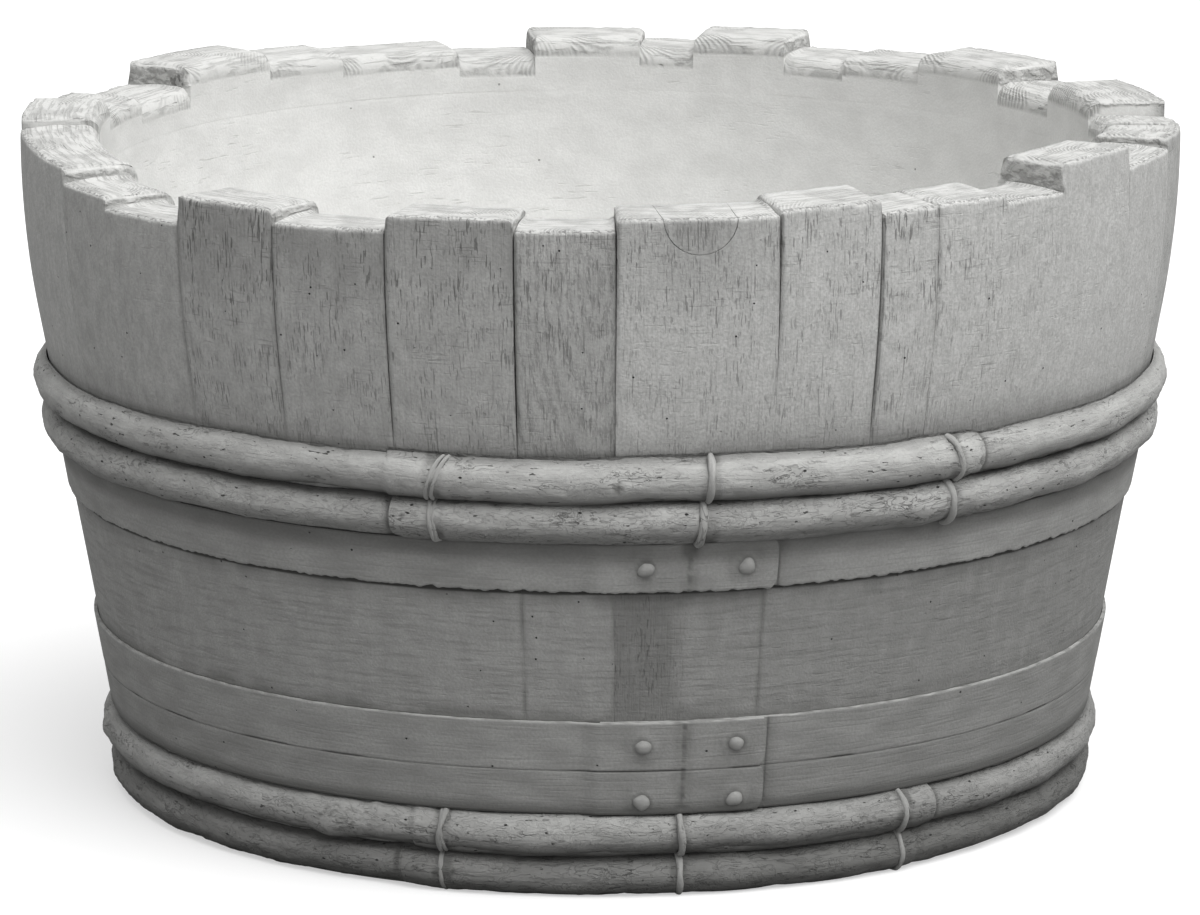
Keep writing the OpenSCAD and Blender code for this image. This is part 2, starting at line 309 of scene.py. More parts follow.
def add(tree, kind, inputs=None, **settings):
    """Adds a shader node with its settings. An input is a value, a socket, or a node whose first
    output in use is taken."""
    made = tree.nodes.new(f"ShaderNode{kind}")
    for key, value in settings.items():
        setattr(made, key, value)
    for key, value in (inputs or {}).items():
        if isinstance(key, int):
            socket = made.inputs[key]
        else:
            socket = next(s for s in made.inputs if s.enabled and s.name == key)
        if isinstance(value, bpy.types.Node):
            value = next(s for s in value.outputs if s.enabled)
        if isinstance(value, bpy.types.NodeSocket):
            tree.links.new(value, socket)
        elif socket.type == "RGBA":
            socket.default_value = (*value, 1.0)
        else:
            socket.default_value = value
    return made


def steps_of(size):
    """Scale at which one step of a pattern has a size in mm (x, y, z)"""
    return [1 / (s * MM) for s in size]


def marks(tree, place, size, low, high, detail=2.0):
    """Marks of a size: 1 where the noise passes `high`, 0 below `low`"""
    scaled = add(tree, "Mapping", {"Vector": place, "Scale": steps_of(size)})
    cloud = add(tree, "TexNoise", {"Vector": scaled, "Scale": 1.0, "Detail": detail})
    return add(
        tree, "MapRange", {"Value": cloud, "From Min": low, "From Max": high},
        interpolation_type="SMOOTHSTEP",
    )


def lines(tree, place, size, width, twist):
    """Thin winding lines, such as cracks and insect tracks, where the noise is near its middle"""
    scaled = add(tree, "Mapping", {"Vector": place, "Scale": steps_of(size)})
    cloud = add(tree, "TexNoise", {"Vector": scaled, "Scale": 1.0, "Detail": 1.0, "Distortion": twist})
    middle = add(tree, "Math", {0: cloud, 1: 0.5}, operation="SUBTRACT")
    away = add(tree, "Math", {0: middle}, operation="ABSOLUTE")
    return add(
        tree, "MapRange", {"Value": away, "From Min": width, "From Max": width * 0.4},
        interpolation_type="SMOOTHSTEP",
    )


def pits(tree, place, size, spacing, share):
    """Round pits: `size` is how far a pit reaches as part of its cell, in a share of the cells"""
    scaled = add(tree, "Mapping", {"Vector": place, "Scale": steps_of(spacing)})
    cells = add(tree, "TexVoronoi", {"Vector": scaled, "Scale": 1.0})
    inside = add(
        tree, "MapRange",
        {"Value": cells.outputs["Distance"], "From Min": size, "From Max": size * 0.55},
        interpolation_type="SMOOTHSTEP",
    )
    lot = add(tree, "SeparateColor", {"Color": cells.outputs["Color"]})
    chosen = add(tree, "Math", {0: lot, 1: share}, operation="LESS_THAN")
    return overlap(tree, inside, chosen)


def rings(tree, heart, scale, twist, detail, axis):
    """Growth rings round an axis through the heart, in waves per metre"""
    return add(
        tree, "TexWave",
        {"Vector": heart, "Scale": scale, "Distortion": twist, "Detail": detail[0], "Detail Scale": detail[1]},
        wave_type="RINGS", rings_direction=axis,
    )


def overlap(tree, first, *masks):
    """Where all the masks meet: their product"""
    for mask in masks:
        first = add(tree, "Math", {0: first, 1: mask}, operation="MULTIPLY")
    return first


def painted(tree, colour, *coats):
    """A colour with others laid over it in turn, each where the masks that follow it meet"""
    for over, *masks in coats:
        over = linear(over) if isinstance(over, str) else over
        colour = add(
            tree, "Mix", {"Factor": overlap(tree, *masks), "A": colour, "B": over}, data_type="RGBA"
        )
    return colour


def kept(tree, name, split=False):
    """The vector that a piece keeps at each point, whole or as its three parts"""
    vector = add(tree, "Attribute", attribute_name=name).outputs["Vector"]
    return add(tree, "SeparateXYZ", {"Vector": vector}).outputs if split else vector


def finish_stone(tree, colour, roughness, heights, depth):
    """Stone of a colour, with heights as its fine relief: a share of the depth in mm, and its masks"""
    total = None
    for share, *masks in heights:
        part = overlap(tree, *masks, share)
        total = part if total is None else add(tree, "Math", {0: total, 1: part})
    bump = add(tree, "Bump", {"Height": total, "Distance": depth * MM, "Strength": 1.0})
    shader = add(
        tree, "BsdfPrincipled",
        {"Base Color": colour, "Roughness": roughness, "IOR": 1.5, "Normal": bump},
    )
    add(tree, "OutputMaterial", {"Surface": shader})


def coat_surface(tree):
    """Colour and heights of trowelled stone: cloudy, with long strokes, sand grains and a few air holes"""
    colours = bpy.context.scene.planter_coat_look
    place = add(tree, "TexCoord").outputs["Object"]
    cloud = marks(tree, place, (32, 32, 22), 0.25, 0.75, 9.0)
    stroke = overlap(
        tree, marks(tree, place, (18, 18, 2.4), 0.58, 0.7, 5.0), marks(tree, place, (90, 90, 45), 0.47, 0.62)
    )
    sand = marks(tree, place, (1.8, 1.8, 1.8), 0.3, 0.7)
    holes = pits(tree, place, 0.07, (17, 17, 17), 0.12)
    colour = painted(
        tree, colours.light, (colours.dark, cloud), ("#b4b4b2", stroke, 0.4), ("#bebebc", sand, 0.3),
        ("#999997", holes),
    )
    return colour, [(0.12, sand), (-0.3, stroke), (0.5, cloud), (-0.7, holes)]


def sawn_stone():
    """Cast stone, poured over an impression of rough-sawn oak: matt grey with long dark pores
    along the grain, fine saw marks across it, air holes, and rubbed pale tops with end grain"""
    look = bpy.context.scene.planter_stave_look
    material, tree = new_material("cast_stone_sawn")
    place = add(tree, "TexCoord").outputs["Object"]
    grain, heart = kept(tree, "grain"), kept(tree, "growth")
    _, depth, _ = kept(tree, "grain", split=True)
    pale, end, grime_and_shade = kept(tree, "wear", split=True)
    porous, figured, low = kept(tree, "figure", split=True)
    lighter, broken, _ = kept(tree, "tone", split=True)

    # the outer face
    cloud = marks(tree, grain, (14, 30, 22), 0.25, 0.75, 9.0)
    sand = marks(tree, grain, (2.2, 2.2, 2.2), 0.3, 0.7, 1.0)
    fibre = marks(tree, grain, (1.8, 4, 40), 0.45, 0.7, 2.0)
    dashes = marks(tree, grain, (1.4, 6, 14), 0.6, 0.63, 1.0)
    bunches = marks(tree, grain, (16, 30, 40), 0.46, 0.58, 5.0)
    ticks = marks(tree, grain, (1.2, 5, 8), 0.65, 0.68, 0.0)
    shoals = marks(tree, grain, (30, 30, 26), 0.47, 0.58, 4.0)
    pores = add(
        tree, "Math", {0: overlap(tree, dashes, bunches), 1: overlap(tree, ticks, shoals, 0.6)},
        operation="MAXIMUM",
    )
    pores = overlap(tree, pores, porous)
    saw = marks(tree, grain, (24, 9, 1.7), 0.61, 0.67, 1.0)
    sawn = overlap(tree, saw, marks(tree, grain, (50, 30, 40), 0.48, 0.6, 3.0), porous)
    smears = overlap(tree, marks(tree, place, (36, 36, 4), 0.42, 0.72, 5.0), low)
    holes = pits(tree, grain, 0.075, (13, 13, 13), 0.42)
    swept = add(tree, "Mapping", {"Vector": heart, "Scale": (1, 1, 0.3)})
    growing = overlap(
        tree, rings(tree, swept, 42.0, 7.0, (4.0, 1.2), "Y"), figured,
        marks(tree, grain, (1.4, 3, 5), 0.35, 0.6),
    )
    grime = marks(tree, grain, (13, 9, 19), 0.25, 0.6, 6.0)
    blotch = add(tree, "Math", {0: grime, 1: 0.16, 2: 0.84}, operation="MULTIPLY_ADD")
    # The darkest step of the grime colour draws the painted shadow line under the upper band's edge, and the seam
    deep = add(tree, "MapRange", {"Value": grime_and_shade, "From Min": 0.72, "From Max": 1.0})
    rubble = overlap(tree, marks(tree, grain, (9, 9, 7), 0.38, 0.62, 6.0), broken)
    # The grime colour lays grime, stains and dark joints, and also painted shadow and shade; the lightest colour is
    # painted light on the front staves from the bung stave rightward
    face = painted(
        tree, look.light, (look.dark, cloud), ("#e0e0de", lighter), ("#888886", sand, 0.3),
        ("#7c7c7a", fibre, porous, 0.18), ("#747472", sawn, 0.46), ("#6c6c6a", growing, 0.4),
        ("#7c7c7a", smears, 0.4), (look.grime_and_shade, grime_and_shade, blotch), ("#3e3e3c", deep), (look.pore, pores, 0.85),
        ("#262625", holes), ("#c4c4c2", rubble, 0.7),
    )

    # the top, with its end grain, and the inner face
    bands = marks(tree, grain, (34, 2.2, 60), 0.5, 0.6, 4.0)
    rim = add(tree, "MapRange", {"Value": depth, "From Min": 9 * MM, "From Max": 2 * MM})
    pitted = overlap(tree, marks(tree, grain, (3, 3, 3), 0.53, 0.58, 3.0), rim)
    cracks = marks(tree, grain, (24, 1.4, 40), 0.68, 0.74, 3.0)
    arcs = overlap(
        tree, rings(tree, heart, 110.0, 3.0, (3.0, 1.0), "Z"), marks(tree, grain, (26, 18, 60), 0.42, 0.6, 3.0)
    )
    top = painted(
        tree, look.top, ("#949492", bands, 0.6), ("#7e7e7c", arcs, 0.55), ("#b4b4b2", sand, 0.4),
        ("#6e6e6c", pitted, 0.8), ("#858583", cracks, 0.7),
    )
    coat, coat_heights = coat_surface(tree)
    colour = painted(tree, face, (painted(tree, coat, (top, end)), pale))

    outside = add(tree, "Math", {0: 1.0, 1: pale}, operation="SUBTRACT")
    heights = [
        (-0.9, outside, pores), (-0.25, outside, fibre, porous), (-0.2, outside, sawn), (-1.6, outside, holes),
        (-0.3, outside, smears), (-0.3, outside, growing), (-0.12, outside, sand),
        (-0.4, outside, grime_and_shade, grime), (1.6, rubble), (-0.5, end, bands), (-1.3, end, cracks),
        (-1.4, end, pitted), (-0.9, end, arcs),
    ]
    finish_stone(tree, colour, 0.9, heights + coat_heights, 0.7)
    return material


def coat_stone():
    """Cast stone smoothed with a trowel: the palest surface, cloudy, with long flat strokes, and
    dulled by water and earth towards the floor, which lies open to the sky"""
    material, tree = new_material("cast_stone_trowelled")
    colour, heights = coat_surface(tree)
    place = add(tree, "TexCoord").outputs["Object"]
    height = add(tree, "SeparateXYZ", {"Vector": place}).outputs["Z"]
    low_darkening = add(tree, "MapRange", {"Value": height, "From Min": 190 * MM, "From Max": 75 * MM})
    finish_stone(tree, painted(tree, colour, ("#a6a6a4", low_darkening, 0.6)), 0.85, heights, 0.7)
    return material


def bark_stone():
    """Cast stone from a mould of peeled rods: scuffed bark with pits, cracks and insect tracks"""
    look = bpy.context.scene.planter_hoop_look
    material, tree = new_material("cast_stone_bark")
    along, knot = kept(tree, "grain"), kept(tree, "whorl")
    rugged, _, grime_and_shade = kept(tree, "wear", split=True)
    cloud = marks(tree, along, (30, 14, 14), 0.25, 0.75, 9.0)
    fibre = marks(tree, along, (30, 2.2, 2.2), 0.45, 0.7, 2.0)
    patches = marks(tree, along, (45, 16, 16), 0.52, 0.66, 4.0)
    rough = add(tree, "Math", {0: patches, 1: rugged}, operation="ADD", use_clamp=True)
    scuffs = overlap(tree, marks(tree, along, (9, 3, 3), 0.61, 0.65, 2.0), rough)
    tracks = overlap(tree, lines(tree, along, (15, 6, 6), 0.026, 1.2), rough)
    wrinkled = marks(tree, along, (24, 12, 12), 0.5, 0.62, 3.0)
    wrinkles = overlap(tree, lines(tree, along, (6, 8, 8), 0.036, 2.0), rough, wrinkled)
    holes = pits(tree, along, 0.11, (15, 9, 9), 0.3)
    nicks = marks(tree, along, (9, 3.5, 3.5), 0.69, 0.72, 3.0)
    sand = marks(tree, along, (2.2, 2.2, 2.2), 0.3, 0.7, 1.0)
    away = add(tree, "VectorMath", {0: knot}, operation="LENGTH").outputs["Value"]
    near = add(tree, "MapRange", {"Value": away, "From Min": 17 * MM, "From Max": 10 * MM})
    swirl = overlap(
        tree, rings(tree, knot, 75.0, 7.0, (3.0, 1.8), "Z"), near, marks(tree, along, (9, 6, 6), 0.4, 0.6)
    )
    # The pit colour by the grime mask is painted shade in grooves, beside ties, along the wall and underneath,
    # painted shadow at lap ends and on strands against hoops
    colour = painted(
        tree, look.light, (look.dark, cloud), ("#6a6a68", swirl, 0.6), ("#8f8f8d", fibre, 0.12),
        ("#969694", sand, 0.35), ("#666664", scuffs, 0.55), ("#6e6e6c", tracks, 0.5),
        ("#727270", wrinkles, 0.25), (look.pit, grime_and_shade, 0.85), (look.pit, nicks), ("#2e2e2d", holes),
    )
    heights = [
        (-0.2, fibre), (-1.1, scuffs), (-1.1, tracks), (-0.9, wrinkles), (-1.6, holes), (-1.2, nicks),
        (-0.12, sand), (-0.8, swirl),
    ]
    finish_stone(tree, colour, 0.88, heights, 0.8)
    return material


def strap_stone():
    """Cast stone from a mould of flat straps: nearly smooth, cloudy, drawn lengthwise"""
    look = bpy.context.scene.planter_band_look
    material, tree = new_material("cast_stone_strap")
    along = kept(tree, "grain")
    pale, ridge, grime_and_shade = kept(tree, "wear", split=True)
    cloud = marks(tree, along, (36, 18, 15), 0.25, 0.75, 9.0)
    drawn = marks(tree, along, (40, 5, 2.4), 0.45, 0.7, 3.0)
    sand = marks(tree, along, (2.2, 2.2, 2.2), 0.3, 0.7, 1.0)
    holes = pits(tree, along, 0.07, (15, 15, 15), 0.3)
    # The dark colour is grime round the rivets and seam, and painted shade and shadow by the hoops, the lap's end,
    # the lower edges and the right side; the ridge colour is a painted highlight
    colour = painted(
        tree, look.light, (look.dark, cloud), ("#868684", drawn, 0.25), ("#787876", sand, 0.3),
        ("#4e4e4c", grime_and_shade, 0.85), (look.rivet, pale), ("#b8b8b6", ridge), ("#333332", holes),
    )
    finish_stone(tree, colour, 0.86, [(-0.1, sand), (-0.2, drawn), (-1.4, holes)], 0.7)
    return material


def board_stone():
    """Cast stone left as it came from the mould: plain, sandy and a little blotched"""
    look = bpy.context.scene.planter_coat_look
    material, tree = new_material("cast_stone_plain")
    place = add(tree, "TexCoord").outputs["Object"]
    cloud = marks(tree, place, (60, 60, 60), 0.3, 0.7, 4.0)
    sand = marks(tree, place, (2, 2, 2), 0.3, 0.7)
    holes = pits(tree, place, 0.12, (18, 18, 18), 0.3)
    colour = painted(tree, look.floor, ("#838381", cloud), ("#787876", sand, 0.3), ("#4a4a48", holes))
    finish_stone(tree, colour, 0.9, [(0.2, sand), (-1.2, holes)], 0.7)
    return material


# ---- staves --------------------------------------------------------------------------------------

STAVE_LAYERS = 16  # cells through a stave's thickness
SHUT = 0.25 * MM  # how far a stave's side is moved out to close the joint that CAD leaves
# Width in mm of the open joint to the right of a stave, where it shows from the front. The others
# are nearly closed. Those in FAR_DOWN also show between the bands.
OPEN_JOINTS = {
    "stave_02": 0.25, "stave_03": 0.7, "stave_04": 0.9, "stave_05": 1.0, "stave_06": 1.2, "stave_07": 1.1,
    "stave_08": 1.5, "stave_09": 1.6, "stave_10": 0.7, "stave_11": 0.35, "stave_12": 0.3,
}
FAR_DOWN = ("stave_06", "stave_07", "stave_08")
TO_HOOP = ("stave_03", "stave_04", "stave_05", "stave_06", "stave_09")  # open all the way to the hoops
BROKEN = ("stave_02", "stave_10", "stave_11", "stave_12", "stave_13")  # open only in places
# How much higher a stave's top is at its right edge than at its left, in mm
SLOPES = {"stave_01": -4, "stave_15": -8, "stave_16": -8, "stave_05": 1.5, "stave_09": 3, "stave_10": 3}
# How much lower a stave's top is in the finish than in the CAD model, in mm
LOWERED = {"stave_01": 4}
# How porous the front staves' faces are. The others get a share of their own.
POROUS = {
    "stave_31": 0.1, "stave_01": 0.1, "stave_02": 0.15, "stave_03": 0.2, "stave_04": 0.95, "stave_05": 0.75,
    "stave_06": 0.8, "stave_07": 0.66, "stave_08": 0.62, "stave_09": 0.6, "stave_10": 0.7, "stave_11": 0.6,
    "stave_12": 0.35, "stave_13": 0.15, "stave_14": 0.1,
}
# Staves that rain and hands have darkened below the rim
STAINED = ("stave_04", "stave_05", "stave_06", "stave_07", "stave_08")
# How much higher a stave's top is at the inner edge than at the outer one, in mm
TIPPED = {"stave_08": 2.5, "stave_09": 4.5, "stave_10": 2.5, "stave_11": 3.5}
# How far a stave lies back from its neighbours, in mm
SET_BACK = {"stave_07": 1.7, "stave_31": 2.0, "stave_09": 0.2, "stave_06": 0.2, "stave_10": 0.8}

# Heights in metres on the staves. Each change lies where the upper hoops hide it or draws it out.
BANDED_Z = 0.28, 0.32  # below the first the staves are smooth between the bands, above the second sawn
SET_BACK_Z = 0.27, 0.33  # where a stave that lies back steps in
OWN_FACE_Z = 0.3, 0.34  # below the first the staves' uneven faces run on into each other
JOINT_Z = 0.32  # where the open joints begin
OPEN_Z, HOOP_OPEN_Z = 0.53, 0.38  # where they are fully open, and where those in TO_HOOP are


class Stave:
    """A stave's place, worked out from its CAD node, and its own wear"""

    def __init__(self, name, wall):
        self.name, self.wall = name, wall
        points = [v.co for v in NODES[name].data.vertices]
        middle = sum(points, Vector()) / len(points)
        centre = math.atan2(middle.x, -middle.y)
        angles = [polar_of(p, centre)[1] for p in points]
        self.left, self.right = min(angles), max(angles)
        self.top = max(p.z for p in points) - LOWERED.get(name, 0) * MM
        self.number = STAVES.index(name)
        before, after = STAVES[self.number - 1], STAVES[(self.number + 1) % len(STAVES)]
        dice = random.Random(self.number)
        self.gaps = [
            OPEN_JOINTS.get(left, random.Random(STAVES.index(left) + 100).uniform(0.15, 0.7)) * MM
            for left in (before, name)
        ]
        self.deep = [left in FAR_DOWN for left in (before, name)]
        self.broken = [left in BROKEN for left in (before, name)]
        self.open_z = [HOOP_OPEN_Z if left in TO_HOOP else OPEN_Z for left in (before, name)]
        self.joints = [STAVES.index(left) for left in (before, name)]
        self.beside = [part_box(neighbour)[1].z for neighbour in (before, after)]
        self.slope = SLOPES.get(name, dice.uniform(-1.5, 1.5)) * MM
        self.back = SET_BACK.get(name, dice.uniform(0.0, 1.0)) * MM
        self.pores = dice.uniform(0.2, 0.8)
        self.porous = POROUS.get(name, self.pores)
        self.width = (self.right - self.left) * wall.rim
        # heights where a stave's face darkens: grime over the upper hoop, painted shadow under the upper band, and a
        # darker stretch over the middle one
        self.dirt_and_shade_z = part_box("hoop_1")[1].z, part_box("band_upper")[0].z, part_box("band_middle")[1].z

    def nearest_side(self, across):
        """How far the nearest side is from a distance from the left edge, and which one: 0 left, 1 right"""
        return min(across, self.width - across), 0 if across < self.width / 2 else 1

    def top_at(self, across):
        """Height of the top at a distance from the left edge"""
        return self.top - abs(self.slope) / 2 + self.slope * (across / self.width - 0.5)

    def rows(self):
        """Distances of the rows of points below the top: close at the top and round the coat's edge"""
        reach = self.top - self.wall.coat_top - 1 * MM
        near = [reach * (k / 22) ** 1.7 for k in range(23)] + [reach + step * MM for step in (2, 4, 6, 8)]
        rest, steps = self.top - near[-1], 62
        even = [near[-1] + rest * k / steps for k in range(1, steps + 1)]
        close = [self.top - z - step * MM for z in self.dirt_and_shade_z for step in (-6, -3, -1.2, 0.3, 1.8, 4, 8)]
        return sorted(near + even + close)

    def place(self, across, depth, below):
        """The point at a distance from the left edge, behind the outer face and below the top"""
        z = max(0.0, self.top_at(across) * (1 - below / self.top))
        angle = self.left + (self.right - self.left) * (across / self.width)
        side, half = self.nearest_side(across)
        showing = max(ramp(JOINT_Z, self.open_z[half], z), 0.15 * self.deep[half])
        if self.broken[half]:
            showing *= ramp(-0.15, 0.15, field(z, self.joints[half] * 3.1, 0, 22 * MM))
        worn = ramp(2 * MM, 0, side) * ramp(9 * MM, 0, depth) * self.gaps[half] * 1.2 * showing
        opened = self.gaps[half] / 2 * showing * ramp(30 * MM, 12 * MM, depth)
        angle += (1 - 2 * half) * (opened - SHUT) * ramp(1.2 * MM, 0, side) / self.wall.rim
        to_face = ramp(self.wall.thick, 0, depth)
        back = self.back * ramp(*SET_BACK_Z, z)
        own_face = self.number * 0.07 * ramp(*OWN_FACE_Z, z)
        uneven = 0.35 * MM * field(self.wall.rim * angle, own_face, z * 0.4, 30 * MM)
        radius = self.wall.radius(z) - depth - worn - (back + 0.3 * MM - uneven) * to_face
        return polar(radius, angle, z)


def stave_mesh(stave):
    """A stave from a gridded block: rounded, chipped and worn at the top, bent round the barrel"""
    look = bpy.context.scene.planter_stave_look
    wall, seed, rows = stave.wall, stave.number * 3.7, stave.rows()
    columns = max(14, round(stave.width / (4 * MM)))
    bm = block((columns, STAVE_LAYERS, len(rows) - 1))
    for vert in bm.verts:
        across = crowd(vert.co.x) * stave.width
        share_deep = crowd(vert.co.y, 0.9)
        below = rows[round((1 - vert.co.z) * (len(rows) - 1))]
        z = stave.top - below
        thick = wall.thick - wall.coat * ramp(wall.coat_top - 1 * MM, wall.coat_top - 7 * MM, z)
        depth = share_deep * thick
        near_top = ramp(30 * MM, 0, below)
        side, half = stave.nearest_side(across)
        free = z - stave.beside[half]
        # the inner, outer and side edges of the top, and the upright edges that stand free
        inner, below = round_edge(thick - depth, below, look.inner_edge)
        depth = thick - inner
        ragged = look.edge * (1 + 0.5 * field(across, seed, 0, 9 * MM))
        depth, below = round_edge(depth, below, ragged)
        worn_side, below = round_edge(side, below, 2.5 * MM + max(0, min(4 * MM, free * 0.35)))
        worn_side, inner = round_edge(worn_side, thick - depth, max(0, min(9 * MM, free * 0.7)))
        depth = thick - inner
        worn_side, depth = round_edge(worn_side, depth, max(0, min(4.5 * MM, free * 0.4)))
        across = worn_side if half == 0 else stave.width - worn_side
        # chips along the outer edge, the uneven top, and the soft foot of a taller neighbour
        broken = max(0.0, 0.6 * field(across, seed, 1, 6 * MM) + field(across, seed, 2, 2.6 * MM) - 0.1)
        near_edge = ramp(6 * MM, 0, depth) * ramp(7 * MM, 0, below)
        depth += look.chip * broken * near_edge * 0.7
        below += look.chip * broken * near_edge
        below += near_top * MM * (0.6 + 0.7 * field(across, depth + seed, 0, 34 * MM))
        below += near_top * MM * 0.4 * field(across, depth * 1.5 + seed, 3, 6 * MM)
        below -= TIPPED.get(stave.name, 0) * MM * ramp(0, wall.thick, depth) * near_top
        if free < 0:
            foot = ramp(5 * MM, 0, side) * ramp(0, 30 * MM, depth) * min(2.5 * MM, -0.4 * free)
            below -= foot * near_top * ramp(0, 1 * MM, below + foot)
        point = stave.place(across, depth, below)
        if share_deep > 0.5:
            radius, angle, height = polar_of(point, (stave.left + stave.right) / 2)
            smoothed = wall.inner(angle, height) - (wall.radius(height) - wall.thick)
            point = polar(radius + smoothed * ramp(0.5, 1.0, share_deep), angle, height)
        # rough sides, which show where a neighbour is lower
        if side < 0.5 * MM and free > 0:
            rough = 1.3 * MM * field(point.x, point.y, point.z, 9 * MM)
            rough *= ramp(1.5 * MM, 6 * MM, depth)
            point += Vector((-point.y, point.x, 0)).normalized() * rough * ramp(0, 4 * MM, free)
        vert.co = point
    mark_stave(bm, stave)
    return bm


def stave_dirt_and_shade(stave, radius, angle, z, across, below, stained):
    """How dark a point of a stave's face is made: stains, grime, joints, seam, painted shadow under the upper band
    and a darker stretch over the middle one; and how far it is a sharp line: that band's painted shadow line and the
    seam
    """
    hoop_top, strap, low_strap = stave.dirt_and_shade_z
    side, half = stave.nearest_side(across)
    # rain stains below the rim, and dirt over the upper hoop
    patch = 0.45 + 0.9 * field(across * 0.6, stave.number * 2.1, z * 0.5, 45 * MM)
    rim_stain = stained * ramp(115 * MM, 5 * MM, below) * max(0.0, patch)
    over_hoop = 0.4 * ramp(30 * MM, 0, z - hoop_top) + 0.7 * ramp(9 * MM, -1 * MM, z - hoop_top) * (0.8 + patch)
    right = ramp(0.86, 0.98, math.cos(angle - math.radians(33)))
    over_hoop = over_hoop * (1 + 0.5 * right) + 0.12 * right * ramp(60 * MM, 5 * MM, z - hoop_top)
    over_hoop *= ramp(-24 * MM, -10 * MM, z - hoop_top)
    # painted shadow under the upper band's edge, and a darker stretch just above the middle band
    edge_low = field(angle * stave.wall.foot, 0, 3, 26 * MM)
    strap_shadow = ramp(2.5 * MM, 1.2 * MM, strap - z) + 0.4 * ramp(18 * MM, 0, strap - z) * (0.6 + edge_low)
    strap_shadow *= ramp(-12 * MM, -4 * MM, strap - z)
    over_strap = 0.8 * ramp(2.5 * MM, 0.5 * MM, z - low_strap) + 0.5 * ramp(14 * MM, 0, z - low_strap)
    over_strap *= ramp(-6 * MM, 0, z - low_strap) * (0.75 + edge_low)
    # the joints, and on one stave the mould's seam and the panel on its left
    low = ramp(*reversed(BANDED_Z), z)
    wide = stave.gaps[half] > 0.6 * MM
    joint = 0.35 * wide * ramp(4.5 * MM, 0.5 * MM, side) * ramp(0.33, stave.open_z[half], z)
    if stave.deep[half]:
        joint += 0.4 * low * ramp(3.5 * MM, 0.3 * MM, side) * (0.6 + field(z, side, 2, 30 * MM))
    seam = panel = 0.0
    if stave.name == BUNG_STAVE:
        seam = ramp(2 * MM, 0.6 * MM, abs(angle - SEAM_ANGLE) * radius)
        seam *= 0.25 + 1.5 * ramp(24 * MM, 6 * MM, z - hoop_top)
        seam *= max(0.0, 0.4 + field(z, 0, 7, 5 * MM))
        panel = low * ramp(SEAM_ANGLE + 0.01, SEAM_ANGLE - 0.04, angle)
    dirt_and_shade = rim_stain + over_hoop + strap_shadow + over_strap + joint + seam + 0.3 * panel
    # The sharp dark line is the painted shadow line under the upper band's edge, and the mould's seam
    shadow_and_seam_line = max(ramp(2.5 * MM, 1.2 * MM, strap - z) * ramp(-12 * MM, -4 * MM, strap - z), seam)
    return dirt_and_shade, shadow_and_seam_line, panel, low


def mark_stave(bm, stave, grime=0.0):
    """Gives each vertex its place in the grain and from the heart of its growth rings, its wear
    (pale, end grain, grime with painted shade and shadow), its figure (pores, rings, smooth stretch
    between the bands) and its tone (lighter, partly painted light; broken)"""
    wall, middle = stave.wall, (stave.left + stave.right) / 2
    stained = 0.7 if stave.name in STAINED else 0.12
    # Painted light: the front staves from the bung stave rightward, towards the lamp, are made lighter; the staves
    # further round differ at random
    lighter = 0.36 * ramp(math.radians(-4), math.radians(6), middle) if abs(middle) < 1.2 else 0.3 * stave.pores
    heart = random.Random(stave.number + 50)
    heart_x, heart_z = heart.uniform(-0.3, 0.3) * stave.width, heart.uniform(0.3, 0.6)
    rows = []
    for vert in bm.verts:
        radius, angle, z = polar_of(vert.co, middle)
        across = (angle - stave.left) * wall.rim
        depth = wall.radius(z) - radius
        below = stave.top_at(across) - z
        side, half = stave.nearest_side(across)
        # the top, the side where a lower neighbour bares it, and the inner face are paler
        top = ramp(4 * MM, 1.4 * MM, below - max(0, depth - wall.thick + 16 * MM) * 0.8)
        beside = ramp(1.2 * MM, 0.3 * MM, side) * ramp(2 * MM, 4 * MM, below)
        beside *= ramp(-1 * MM, 1 * MM, z - stave.beside[half])
        inside = ramp(wall.thick - 22 * MM, wall.thick - 12 * MM, depth) * (1 - beside)
        inside = max(inside, ramp(wall.thick - 6 * MM, wall.thick - 1 * MM, depth))
        pale = max(top * ramp(0.8 * MM, 2.5 * MM, depth), ramp(5 * MM, 14 * MM, depth) * 0.8)
        pale = max(pale * (1 - beside), inside)
        dirt_and_shade, shadow_and_seam_line, panel, low = stave_dirt_and_shade(stave, radius, angle, z, across, below, stained)
        # The low zone between the bands is darker; on the right side painted shade is added to tone down the lamp's
        # light
        low_darkening = 0.38 + 0.32 * shaded_side(angle, 0.2)
        grime_and_shade = min(0.75, dirt_and_shade + low_darkening * low + grime) + 0.25 * min(1.0, shadow_and_seam_line)
        grime_and_shade *= ramp(6 * MM, 2 * MM, depth)
        # Painted shade on a bared side, deeper the more it faces away from the lamp, over a little grime
        shade = 0.5 - 0.5 * (2 * half - 1) * math.cos(angle + math.radians(45))
        pores = max(stave.porous * (0.75 + 0.4 * ramp(0.38, 0.5, z)) * (1 - low), 0.9 * panel)
        figured = (1.0 if stave.name == "stave_07" else 0.35) * (1 - low)
        rows.append((
            (across + stave.number * 0.61, depth, z),
            (pale, top * ramp(0, 3 * MM, depth), max(grime_and_shade, (0.15 + 0.6 * shade) * beside)),
            (pores, figured, low),
            (across - stave.width / 2 - heart_x, depth, z - heart_z),
            (lighter * (1 - low) * (1 - beside), beside, 0),
        ))
    keep(bm, ("grain", "wear", "figure", "growth", "tone"), rows)


class PLANTER_OT_staves(Operator):
    """Model the staves: sawn grain outside, chipped and rubbed tops, smooth inside"""

    bl_idname = "planter.staves"
    bl_label = "Staves"

    def execute(self, context):
        wall, material = Wall(), sawn_stone()
        for name in STAVES:
            bm = stave_mesh(Stave(name, wall))
            make_object(bm, f"cast_{name}", material, [name])
        return {"FINISHED"}


